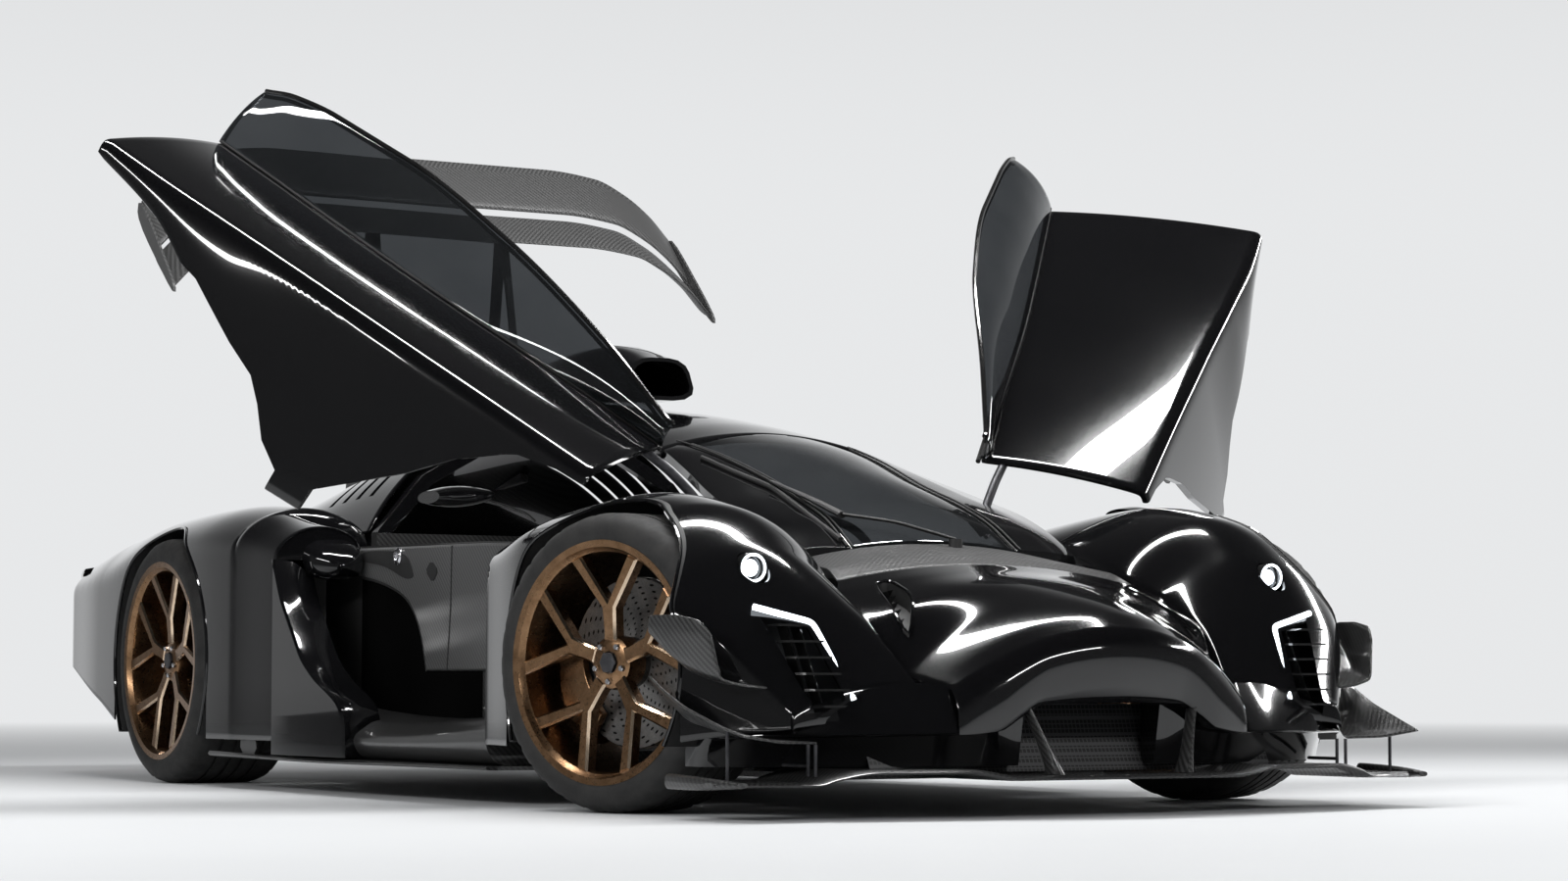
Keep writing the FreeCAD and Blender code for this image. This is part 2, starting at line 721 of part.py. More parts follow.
def doors():
    places = door_places()
    skin = float(SKIN)
    gap = float(SEAT)
    hinge = at(*DOOR_HINGE)
    reach = DOOR_AXIS * 28
    barrel = tube(hinge - reach, hinge + reach, size("hinge_barrel_radius"))
    arm = tube(hinge, at(-640, 440, 776), 11)
    bore = tube(hinge - reach * 3, hinge + reach * 3, size("hinge_pin_radius") + SEAT)
    outer_skin = door_shell(0.0, skin, DOOR_STATIONS)
    panels("door_skin", outer_skin.fuse([arm, barrel]).cut(bore), places)
    trim_stations = [door_station(x) for x in (-700, -900, -1300, -1650)]
    trim_stations = [row[:5] + (row[3] + 9, row[4] - 150) for row in trim_stations]
    panels("door_trim", door_shell(skin + gap, skin + 12, trim_stations), places)
    pane_tops = [
        # x, y_top, z_top
        (-640, 398, 868),
        (-900, 345, 950),
        (-1300, 256, 1032),
        (-1650, 222, 1070),
        (-1880, 222, 1074),
        (-2092, 222, 1074),
    ]
    thick = float(size("glass_thickness"))
    bulge = 16.0
    panes = []
    for x, yt, zt in pane_tops:
        yl, zl = door_station(x)[1:3]
        zl += gap
        y_mid = (yl + yt) / 2 + bulge
        z_mid = (zl + zt) / 2 + bulge
        panes.append([at(x, yl, zl), at(x, y_mid, z_mid), at(x, yt, zt),
                      at(x, yt - thick, zt), at(x, y_mid - thick, z_mid), at(x, yl - thick, zl)])
    panels("door_glass", loft(panes, (1, 4)), places)


def wing():
    """Two elements with drooping tips, and the struts."""
    lead = along(-2770) - size("wing_back") + 2770
    tall = size("wing_height")
    half = size("wing_half_span")
    droops = [
        # share of the half span, drop
        (0.0, 0),
        (0.5, 0),
        (0.7, 18),
        (0.82, 64),
        (0.92, 128),
        (1.0, 203),
    ]
    elements = {
        # points are (back from the leading edge, up from it)
        "main": [(0, 0), (80, 30), (172, 100), (178, 116), (80, 62), (14, 18)],
        "flap": [(166, 124), (232, 190), (300, 286), (308, 302), (222, 214), (160, 142)],
    }
    rows = [(-share, drop) for share, drop in reversed(droops[1:])] + droops
    parts = []
    for name, outline in elements.items():
        stations = [(half * share, [(lead - back, tall + up - drop) for back, up in outline]) for share, drop in rows]
        parts.append(spanned("wing_" + name, stations))
    for side in (-1, 1):
        y = half * side
        tip = [(lead + 6, tall - 228), (lead + 6, tall - 190), (lead - 300, tall + 112), (lead - 318, tall + 40)]
        thick = 8.0
        parts.append(plate("wing_tip_%d" % (side + 1), "XZ_Plane", tip, thick,
                           -y - (thick + SEAT if side > 0 else -SEAT)))
    keep(together("wing", parts), "wing")
    near = size("strut_spacing") / 2
    thick = size("strut_thickness")
    body = doc.addObject("PartDesign::Body", "strut")
    pad = body.newObject("PartDesign::Pad", "strut_pad")
    outline = [(40, -760), (-300, -790), (-150, 70), (-158, 84), (-94, 38), (-70, -120)]
    pad.Profile = drawn(body, "XZ_Plane", [(lead + x, tall + z) for x, z in outline], "strut_outline", -near - thick)
    bind(pad, {"Length": thick})
    window = body.newObject("PartDesign::Pocket", "strut_window")
    opening = [(10, -640), (-240, -650), (-132, -60), (-96, -60)]
    window.Profile = drawn(body, "XZ_Plane", [(lead + x, tall + z) for x, z in opening], "strut_opening", -near - thick)
    window.Type = 1
    window.Midplane = True
    body.Tip = window
    cover = doc.addObject("Part::Feature", "cover_space")
    cover.Shape = loft([cover_section(x, half_width, z_low, z_edge + 1, z_crown + 0.3)
                        for x, half_width, z_low, z_edge, z_crown in COVER_STATIONS], CROWN)
    blade = less("strut_blade", body, cover)
    keep(together("wing_struts", [blade, mirrored(blade)]), "wing_struts")


def mirrors():
    pod = loft([
        [at(-520, 985, 742), at(-535, 1090, 738), at(-535, 1090, 762), at(-520, 985, 772)],
        [at(-585, 990, 738), at(-605, 1100, 733), at(-605, 1100, 766), at(-585, 990, 774)],
    ])
    stalk = tube(at(-480, 858, 702), at(-548, 1000, 752), 8)
    foot = tube(at(-480, 858, 690), at(-480, 858, 706), 12)
    fender = loft([crowned(*row) for row in (
        (-556, 478, 950, 150, 632, 600, 760, 690), (-300, 460, 985, 150, 636, 640, 780, 728))], CROWN)
    fender.translate(V(0, 0, float(SEAT)))
    both = pod.fuse([stalk, foot]).cut(fender)
    panel("mirrors", Part.Compound([both, flipped(both)]))


# Running gear

class Corner:
    """One wheel's place: sizes by axle, and the frame about its ball joints' axis."""

    def __init__(self, axle, side):
        self.axle = axle
        self.side = side
        self.word = "left" if side > 0 else "right"
        self.radius = size(axle + "_tyre_radius")
        self.width = size(axle + "_tyre_width")
        self.rim = size(axle + "_rim_radius")
        self.offset = size(axle + "_ball_offset")
        self.x = FRONT_AXLE if axle == "front" else REAR_AXLE
        self.pin = size(axle + "_wheel_face") - self.width / 2 - self.offset
        self.outer = self.offset + self.width / 2
        self.inner = self.offset - self.width / 2

    def put(self, item):
        angle = size("steer_at_rest") if self.axle == "front" else 0.0
        return put(item, [self.x, self.pin * self.side, self.radius], V(0, 0, 1), angle)

    def name(self, piece):
        return "%s_%s_%s" % (piece, self.axle, self.word)


def tyre(corner):
    o, i, r, bead = corner.outer, corner.inner, corner.radius, corner.rim - 8
    section = [
        (i + 14, bead), (i, bead + 34), (i + 12, r - 20), (i + 44, r),
        (o - 44, r), (o - 12, r - 20), (o, bead + 34), (o - 14, bead),
    ]
    name = corner.name("tyre")
    keep(corner.put(turned(name, [(y * corner.side, radius) for y, radius in section])), name)


SPOKES = 5
STEM_WINDOW = [
    # radius or share of the window's outer radius, degrees from the spoke
    (70, 36), (76, 15), (128, 9.5), (1.0, 24.5), (1.02, 36), (1.0, 47.5), (128, 62.5), (76, 57),
]
FORK_WINDOW = [
    (140, 0), (1.0, 16), (1.015, 0), (1.0, -16),
]


def rim(corner):
    """Barrel, dished face and hub in one section, then windows that leave five forked spokes."""
    o, i, r = corner.outer, corner.inner, corner.rim
    bore = size("stub_axle_radius") + SEAT
    hub = size("hub_radius")
    depth = size("hub_depth")
    section = [
        (o - 54, 0.0), (o - 54, bore), (o - depth, bore), (o - depth, hub), (o - 66, hub), (o - 58, hub + 14),
        (o - 38, r - 24), (i + 8, r - 24), (i + 8, r - 8 - SEAT), (o - 13, r - 8 - SEAT),
        (o - 6, r + 6), (o - 2, r + 4), (o - 4, r - 12), (o - 14, r - 24), (o - 34, hub + 24), (o - 30, hub - 6),
        (o - 36, 0.0),
    ]
    name = corner.name("rim")
    body = turned(name, [(y * corner.side, radius) for y, radius in section])
    planes = {part.Role: part for part in body.Origin.OriginFeatures}
    reach = r - 27
    pockets = []
    for tag, window in (("stem", STEM_WINDOW), ("fork", FORK_WINDOW)):
        points = []
        for radius, angle in window:
            distance = reach * radius if radius < 2 else radius
            turn = math.radians(angle + 90)
            points.append((distance * math.cos(turn), distance * math.sin(turn)))
        pocket = body.newObject("PartDesign::Pocket", "%s_%s" % (name, tag))
        pocket.Profile = drawn(body, "XZ_Plane", points, "%s_%s_outline" % (name, tag))
        pocket.Type = 1
        pocket.Midplane = True
        pockets.append(pocket)
    pattern = body.newObject("PartDesign::PolarPattern", name + "_pattern")
    pattern.Originals = pockets
    pattern.Axis = (planes["Y_Axis"], [""])
    pattern.Angle = 360
    pattern.Occurrences = SPOKES
    body.Tip = pattern
    keep(corner.put(body), name)


def brake_disc(corner):
    start = corner.inner + size("disc_inset")
    face = start + size("disc_thickness")
    bore = size("stub_axle_radius") + SEAT
    bell = size("hub_radius") - 2
    end = corner.outer - size("hub_depth") - SEAT
    section = [
        (start, bore), (start, size("disc_radius")), (face, size("disc_radius")), (face, bell + 40),
        (face + 8, bell), (end, bell), (end, bore),
    ]
    name = corner.name("brake_disc")
    keep(corner.put(turned(name, [(y * corner.side, radius) for y, radius in section])), name)


def knuckle(corner):
    """A block with the stub axle, a post between the two ball joints and the rib that joins them."""
    side = corner.side
    name = corner.name("knuckle")

    def slab(tag, y, width, half_x, half_z):
        low = y if side > 0 else -(y + width)
        return block(name + tag, [-half_x, low, -half_z], [2 * half_x, width, 2 * half_z])

    stub_length = corner.width - 100
    stub_start = corner.inner + 45
    stub = rod(name + "_stub", [0.0, stub_start if side > 0 else -(stub_start + stub_length), 0.0], "y",
               size("stub_axle_radius"), stub_length)
    half_post = size("ball_height") - size("ball_radius") - SEAT
    post = rod(name + "_post", [0.0, 0.0, -half_post], "z", 11.0, half_post * 2)
    pieces = [slab("_block", corner.inner, 60.0, 45.0, 120.0), slab("_rib", corner.inner, -corner.inner, 11.0, 120.0)]
    return corner.put(fused(name, pieces + [stub, post]))


def suspension(axle, beam_from, beam_to, half, spread):
    """A cross beam with flat wishbones above and below, and their ball joints."""
    corner = Corner(axle, 1)
    low = corner.radius - size("ball_height")
    root = half - 10.0
    arms = []
    for tag, z in (("low", low), ("high", low + size("ball_height") * 2)):
        outline = [(-spread - 14, root), (-spread + 30, root), (0, corner.pin - 90), (spread - 30, root),
                   (spread + 14, root), (14, corner.pin + 4), (-14, corner.pin + 4)]
        shift = -100.0 if axle == "rear" else 0.0
        points = [(corner.x + (x + shift if y == root else x), y) for x, y in outline]
        name = "arm_%s_%s" % (axle, tag)
        arms.append(plate(name, "XY_Plane", points, 20.0, z - 10))
        joint = size("ball_radius")
        arms.append(rod(name + "_joint", [corner.x, corner.pin, z - joint], "z", joint, joint * 2))
    if axle == "rear":
        arms.append(rod("shaft", [corner.x, root, corner.radius], "y", 16.0, corner.pin + corner.inner - root))
    beam = block("beam_" + axle, [corner.x + beam_from, -half, low - 20], [beam_to - beam_from, 2 * half, 366.0])
    return fused("suspension_" + axle, [beam] + arms + [mirrored(arm) for arm in arms])


def running_gear():
    for axle in ("front", "rear"):
        for side in (1, -1):
            corner = Corner(axle, side)
            tyre(corner)
            rim(corner)
            brake_disc(corner)
    for side in (1, -1):
        corner = Corner("front", side)
        keep(knuckle(corner), corner.name("knuckle"))
    keep(together("knuckles_rear", [knuckle(Corner("rear", 1)), knuckle(Corner("rear", -1))]), "knuckles_rear")
    front = suspension("front", -180.0, 180.0, 330.0, 150.0)
    rear = suspension("rear", -260.0, 20.0, 300.0, 120.0)
    keep(together("suspension", [front, rear]), "suspension")


def drivetrain():
    keep(block("engine_block", [REAR_AXLE + 20 + SEAT, -230.0, 110.0], [520.0, 460.0, 420.0]), "engine_block")
    pipes = []
    for y in (-60.0, 60.0):
        tag = "left" if y > 0 else "right"
        length = along(-3560) - along(-3770)
        outer = rod("pipe_" + tag, [along(-3770), y, 560.0], "x", size("exhaust_radius"), length)
        inner = rod("bore_" + tag, [along(-3771), y, 560.0], "x", size("exhaust_radius") - 4, length - 20)
        pipes.append(less("exhaust_" + tag, outer, inner))
    keep(together("exhausts", pipes), "exhausts")


def cabin():
    """Two seats in tandem, the dashboard and the steering wheel."""
    seats = []
    for i, x in enumerate((-900, -1700)):
        cushion = block("cushion_%d" % i, [along(x), -220.0, 130.3], [480.0, 440.0, 130.0])
        outline = [(60, 250), (-180, 760), (-244, 760), (-4, 250)]
        back = plate("back_%d" % i, "XZ_Plane", [(along(x) + dx, upward(z)) for dx, z in outline], 440.0, -220.0)
        seats.append(fused("seat_%d" % i, [cushion, back]))
    keep(together("seats", seats), "seats")
    outline = [(-240.3, 300), (-240.3, 560), (-290, 590), (-440, 620), (-460, 560), (-340, 300)]
    board = plate("board", "XZ_Plane", [(along(x), float(z)) for x, z in outline], 720.0, -360.0)
    column = rod("column", [along(-520), 0.0, 560.0], "x", 18.0, 120.0)
    ring = turned("steering_ring", [(-12, 150), (0, 140), (12, 150), (12, 160), (0, 170), (-12, 160)])
    put(ring, [along(-520), 0.0, 560.0], V(0, 0, 1), 90)
    bar = block("steering_bar", [along(-528), -150.0, 545.0], [16.0, 300.0, 30.0])
    keep(fused("dashboard", [board, column, ring, bar]), "dashboard")


front_fenders()
louvres()
headlamps()
nose()
splitter()
bumper()
tub()
cowl()
windscreen()
roof_frame()
roof_scoop()
engine_cover()
rear_fenders()
rear_fascia()
underbody()
side_panels()
doors()
wing()
mirrors()
running_gear()
drivetrain()
cabin()
doc.recompute()

for item in doc.Objects:
    if "Invalid" in item.State or "Error" in item.State:
        raise RuntimeError(item.Label + " did not recompute")
os.makedirs("parts", exist_ok=True)
for item in made:
    shape = item.Shape
    if shape.isNull() or not shape.isValid():
        raise RuntimeError(item.Label + " has no valid shape")
    shape.exportStep("parts/" + item.Label + ".step")
print(len(made), "pieces")
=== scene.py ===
"""A dark hypercar with raised doors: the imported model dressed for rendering.

Tables are in millimetres from the front axle: x forward, y to the car's left, z up from the ground.
"""
import math

import bmesh
import bpy
import numpy as np
from mathutils import Matrix, Vector


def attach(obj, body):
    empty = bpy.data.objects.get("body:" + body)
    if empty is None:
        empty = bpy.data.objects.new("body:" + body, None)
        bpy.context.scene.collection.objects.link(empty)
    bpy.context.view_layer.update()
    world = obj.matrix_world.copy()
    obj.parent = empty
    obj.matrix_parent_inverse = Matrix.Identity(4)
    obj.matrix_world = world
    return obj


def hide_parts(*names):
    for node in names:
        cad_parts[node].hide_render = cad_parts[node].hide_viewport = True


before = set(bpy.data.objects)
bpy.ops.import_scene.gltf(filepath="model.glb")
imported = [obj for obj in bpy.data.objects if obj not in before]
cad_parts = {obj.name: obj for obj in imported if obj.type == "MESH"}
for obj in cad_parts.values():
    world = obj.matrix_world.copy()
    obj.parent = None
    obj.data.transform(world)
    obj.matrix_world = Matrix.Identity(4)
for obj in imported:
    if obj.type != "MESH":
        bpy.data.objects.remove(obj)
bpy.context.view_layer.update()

FRONT_AXLE = 1490.0
REAR_AXLE = -2720.0
SIDES = ((1, "left"), (-1, "right"))
BODY_SHEET = 6.0
GLASS_SHEET = 5.0


# Curves and tables

def between(table, xs):
    """Rows of a table at the given xs: a smooth curve through each column that never overshoots."""
    rows = np.array(sorted(table), float)
    x, y = rows[:, 0], rows[:, 1:]
    step = np.diff(x)[:, None]
    slope = np.diff(y, axis=0) / step
    tangent = np.zeros_like(y)
    tangent[0], tangent[-1] = slope[0], slope[-1]
    before, after = slope[:-1], slope[1:]
    total = before + after
    same = before * after > 0
    tangent[1:-1] = np.where(same, 2 * before * after / np.where(same, total, 1.0), 0.0)
    xs = np.clip(np.array(xs, float), x[0], x[-1])
    k = np.clip(np.searchsorted(x, xs, side="right") - 1, 0, len(x) - 2)
    h = step[k]
    s = (xs - x[k])[:, None] / h
    return ((1 + 2 * s) * (1 - s) ** 2 * y[k] + s * (1 - s) ** 2 * h * tangent[k]
            + s * s * (3 - 2 * s) * y[k + 1] + s * s * (s - 1) * h * tangent[k + 1])


def arc(a, b, c, count):
    """Points on the circle from a through b to c, or on a straight line where there is no circle."""
    (ax, ay), (bx, by), (cx, cy) = a, b, c
    d = 2 * (ax * (by - cy) + bx * (cy - ay) + cx * (ay - by))
    if abs(d) < 1e-6:
        return [(ax + (cx - ax) * i / (count - 1), ay + (cy - ay) * i / (count - 1)) for i in range(count)]
    sa, sb, sc = (x * x + y * y for x, y in (a, b, c))
    ux = (sa * (by - cy) + sb * (cy - ay) + sc * (ay - by)) / d
    uy = (sa * (cx - bx) + sb * (ax - cx) + sc * (bx - ax)) / d
    first, middle, last = (math.atan2(y - uy, x - ux) for x, y in (a, b, c))
    turn = 2 * math.pi
    forward = (last - first) % turn
    if (middle - first) % turn > forward:
        forward -= turn
    radius = math.hypot(ax - ux, ay - uy)
    angles = [first + forward * i / (count - 1) for i in range(count)]
    return [(ux + radius * math.cos(t), uy + radius * math.sin(t)) for t in angles]


def evenly(points, count):
    """The same line with evenly spaced points."""
    p = np.array(points, float)
    reach = np.concatenate([[0], np.cumsum(np.linalg.norm(np.diff(p, axis=0), axis=1))])
    at = np.linspace(0, reach[-1], count)
    return np.stack([np.interp(at, reach, p[:, i]) for i in range(p.shape[1])], axis=1)


def eased(points, rounds):
    """The same line with its corners rounded and its ends kept."""
    p = np.array(points, float)
    for _ in range(rounds):
        p[1:-1] = (p[:-2] + 2 * p[1:-1] + p[2:]) / 4
    return p


def smooth(points, count, rounds=2):
    """A smooth even line along a few points."""
    return eased(evenly(points, count), rounds)


def rounded(loop, rounds=1, share=0.25):
    """A closed outline with its corners cut off again and again."""
    p = np.array(loop, float)
    for _ in range(rounds):
        following = np.roll(p, -1, axis=0)
        p = np.stack([p * (1 - share) + following * share, p * share + following * (1 - share)], axis=1)
        p = p.reshape(-1, p.shape[-1])
    return p


def shrunk(loop, inset):
    """A flat closed outline moved inwards by an even distance."""
    p = np.array(loop, float)
    before = p - np.roll(p, 1, axis=0)
    after = np.roll(p, -1, axis=0) - p
    before /= np.linalg.norm(before, axis=1)[:, None]
    after /= np.linalg.norm(after, axis=1)[:, None]
    area = np.sum(p[:, 0] * np.roll(p[:, 1], -1) - np.roll(p[:, 0], -1) * p[:, 1])
    normal = np.stack([-before[:, 1] - after[:, 1], before[:, 0] + after[:, 0]], axis=1)
    length = np.maximum(np.sum(normal * normal, axis=1) / 2, 0.3)
    return p + normal / length[:, None] * inset * math.copysign(1, area)


def full_turn(count):
    return np.linspace(0, 2 * math.pi, count + 1)[:-1]


def squared(t, wide, tall):
    """A point of the unit circle pushed towards a square by powers below 1."""
    c, s = math.cos(t), math.sin(t)
    return math.copysign(abs(c) ** wide, c), math.copysign(abs(s) ** tall, s)


def each_side(*parts):
    """Parts built on the car's left, then on its right."""
    for side, word in SIDES:
        for part in parts:
            part(side, word)


def at_x(x, line):
    """The (y, z) points of a section, at a place along the car."""
    return [(x, y, z) for y, z in line]


def at_y(y, line):
    """The (x, z) points of an outline, at a distance from the car's middle."""
    return [(x, y, z) for x, z in line]


# Building pieces

class Piece:
    """A mesh gathered from sheets, tubes and closed solids. kind is the index of the material."""

    def __init__(self, name, side=1):
        self.name = name
        self.side = side
        self.points = []
        self.faces = []
        self.kinds = []

    def add(self, points, faces, kind=0):
        start = len(self.points)
        self.points += [tuple(float(c) for c in p) for p in points]
        self.faces += [tuple(start + int(i) for i in face) for face in faces]
        self.kinds += [kind] * len(faces)
        return self

    def join(self, part, kind, offset=(0, 0, 0)):
        """Another piece's faces taken in, moved by an offset."""
        return self.add(np.array(part.points) + offset, part.faces, kind)

    def loops(self, loops, kind=0, closed=False, caps=True):
        """A skin over closed outlines with the same number of points; closed joins the last to the first."""
        count = len(loops[0])
        points = [p for loop in loops for p in loop]
        faces = []
        last = len(loops) if closed else len(loops) - 1
        for i in range(last):
            a, b = i * count, ((i + 1) % len(loops)) * count
            faces += [(a + j, a + (j + 1) % count, b + (j + 1) % count, b + j) for j in range(count)]
        if caps and not closed:
            faces += [range(count)[::-1], range(len(points) - count, len(points))]
        return self.add(points, faces, kind)

    def prism(self, outline, direction, kind=0):
        p = np.array(outline, float)
        return self.loops([p, p + np.array(direction, float)], kind)

    def tube(self, path, radius, kind=0, sides=8, closed=False, flat=1.0):
        """A round or flattened tube along a line; radius may be a number for each point."""
        p = np.array(path, float)
        ahead = np.roll(p, -1, axis=0) - np.roll(p, 1, axis=0)
        if not closed:
            ahead[0], ahead[-1] = p[1] - p[0], p[-1] - p[-2]
        ahead /= np.linalg.norm(ahead, axis=1)[:, None]
        up = np.array((0.0, 0.0, 1.0)) if abs(ahead[0][2]) < 0.9 else np.array((1.0, 0.0, 0.0))
        turn = [2 * math.pi * i / sides for i in range(sides)]
        rings = []
        for point, direction, r in zip(p, ahead, np.broadcast_to(radius, (len(p),))):
            up = up - direction * np.dot(up, direction)
            up /= np.linalg.norm(up)
            across = np.cross(direction, up)
            rings.append([point + r * (math.cos(t) * across + flat * math.sin(t) * up) for t in turn])
        return self.loops(rings, kind, closed)

    def turned(self, section, kind=0, steps=96):
        """A closed section of (along y, radius) turned all round the y axis."""
        turn = [math.radians(360.0 * i / steps) for i in range(steps)]
        loops = [[(r * math.cos(t), y, r * math.sin(t)) for y, r in section] for t in turn]
        return self.loops(loops, kind, closed=True)

    def shell(self, grid, thick, inside, kind=0, roll=4):
        """A sheet of even thickness over a grid of points, its rim rolled round. inside is behind it."""
        g = np.array(grid, float)
        n, m = g.shape[:2]
        normal = np.cross(np.gradient(g, axis=0), np.gradient(g, axis=1))
        normal /= np.maximum(np.linalg.norm(normal, axis=2), 1e-9)[:, :, None]
        if np.sum(normal * (g - np.array(inside))) < 0:
            normal = -normal
        index = np.arange(n * m).reshape(n, m)
        border = list(index[0, :]) + list(index[1:, -1]) + list(index[-1, -2::-1]) + list(index[-2:0:-1, 0])
        flat, flat_normal = g.reshape(-1, 3), normal.reshape(-1, 3)
        outward = []
        for b in border:
            i, j = divmod(int(b), m)
            away = flat[b] - g[min(max(i, 1), n - 2), min(max(j, 1), m - 2)]
            away = away - flat_normal[b] * np.dot(away, flat_normal[b])
            outward.append(away / max(np.linalg.norm(away), 1e-9))
        outward = np.array(outward)
        edge, edge_normal = flat[border], flat_normal[border]
        points = [flat]
        for k in range(1, roll):
            t = math.pi * k / roll
            ring = (edge_normal * math.cos(t) + outward * math.sin(t)) * thick / 2
            points.append(edge - edge_normal * thick / 2 + ring)
        points.append(flat - flat_normal * thick)
        corners = (index[:-1, :-1], index[1:, :-1], index[1:, 1:], index[:-1, 1:])
        quads = np.stack(corners, axis=-1).reshape(-1, 4)
        size, rim = n * m, len(border)
        back = size + rim * (roll - 1)
        faces = list(quads) + list(back + quads[:, ::-1])
        rings = [border] + [[size + rim * k + i for i in range(rim)] for k in range(roll - 1)]
        rings.append([back + b for b in border])
        for first, second in zip(rings, rings[1:]):
            faces += [(first[i], first[(i + 1) % rim], second[(i + 1) % rim], second[i]) for i in range(rim)]
        return self.add(np.concatenate(points), faces, kind)

    def both(self):
        """The same again on the car's other side."""
        start = len(self.points)
        self.points += [(x, -y, z) for x, y, z in self.points]
        self.faces += [tuple(start + i for i in face) for face in self.faces]
        self.kinds *= 2
        return self

    def object(self, place=None, local=False):
        """A Blender object in metres; local pieces keep their own origin and are placed by a matrix."""
        shift = 0.0 if local else FRONT_AXLE
        points = [((x + shift) / 1000, y * self.side / 1000, z / 1000) for x, y, z in self.points]
        mesh = bpy.data.meshes.new(self.name)
        mesh.from_pydata(points, [], self.faces)
        mesh.polygons.foreach_set("material_index", self.kinds)
        work = bmesh.new()
        work.from_mesh(mesh)
        bmesh.ops.recalc_face_normals(work, faces=work.faces)
        work.to_mesh(mesh)
        work.free()
        item = bpy.data.objects.new(self.name, mesh)
        bpy.context.scene.collection.objects.link(item)
        if place is not None and local:
            item.matrix_world = place
        elif place is not None:
            mesh.transform(place)
        return item

    def make(self, finish, body="chassis", replaces=(), place=None, local=False, cuts=(), angle=38, bevel=0):
        """The finished piece: cut, shaded, with its materials, on its body."""
        item = self.object(place, local)
        finishes = finish if isinstance(finish, list) else [finish]
        for one in finishes:
            item.data.materials.append(MATERIALS[one])
        cutters = [cutter.object(place) for cutter in cuts]
        for cutter in cutters:
            cutter.data.materials.append(MATERIALS[finishes[0]])
            step = item.modifiers.new("cut", "BOOLEAN")
            step.operation = "DIFFERENCE"
            step.solver = "EXACT"
            step.object = cutter
        if cutters:
            graph = bpy.context.evaluated_depsgraph_get()
            mesh = bpy.data.meshes.new_from_object(item.evaluated_get(graph))
            item.modifiers.clear()
            item.data = mesh
            for cutter in cutters:
                bpy.data.objects.remove(cutter)
        item.data.polygons.foreach_set("use_smooth", [True] * len(item.data.polygons))
        item.data.set_sharp_from_angle(angle=math.radians(angle))
        if bevel:
            step = item.modifiers.new("edge", "BEVEL")
            step.width = bevel / 1000
            step.segments = 2
            step.limit_method = "ANGLE"
            step.angle_limit = math.radians(40)
            step.harden_normals = True
        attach(item, body)
        if replaces:
            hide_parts(*replaces)
        return item


# Materials, all procedural

MATERIALS = {}
PALE_WALL = (-0.861, 0.509, 0.0)
DARK_WALL = 0.16
WALL_BLEND = (0.45, 0.9)


class Nodes:
    """A shader tree and helpers to add nodes to it."""

    def __init__(self, tree):
        self.tree = tree

    def node(self, kind, inputs=(), **settings):
        item = self.tree.nodes.new(kind)
        for key, value in settings.items():
            setattr(item, key, value)
        for key, value in dict(inputs).items():
            if isinstance(value, bpy.types.NodeSocket):
                self.tree.links.new(value, item.inputs[key])
            else:
                item.inputs[key].default_value = value
        return item

    def math(self, operation, a, b=0.0, c=0.0):
        return self.node("ShaderNodeMath", {0: a, 1: b, 2: c}, operation=operation).outputs[0]

    def span(self, value, low, high, start=0.0, end=1.0, **settings):
        """A number that goes from low to high while the value goes from start to end."""
        inputs = {"Value": value, "From Min": start, "From Max": end, "To Min": low, "To Max": high}
        return self.node("ShaderNodeMapRange", inputs, **settings).outputs["Result"]

    def backdrop(self, way, glossy):
        """The backdrop's strength: full, but dark in reflections of all but the pale wall."""
        toward = self.node("ShaderNodeVectorMath", {0: way, 1: PALE_WALL}, operation="DOT_PRODUCT")
        wall = self.span(toward.outputs["Value"], DARK_WALL, 1.0, *WALL_BLEND)
        return self.math("MULTIPLY_ADD", glossy, self.math("SUBTRACT", wall, 1.0), 1.0)


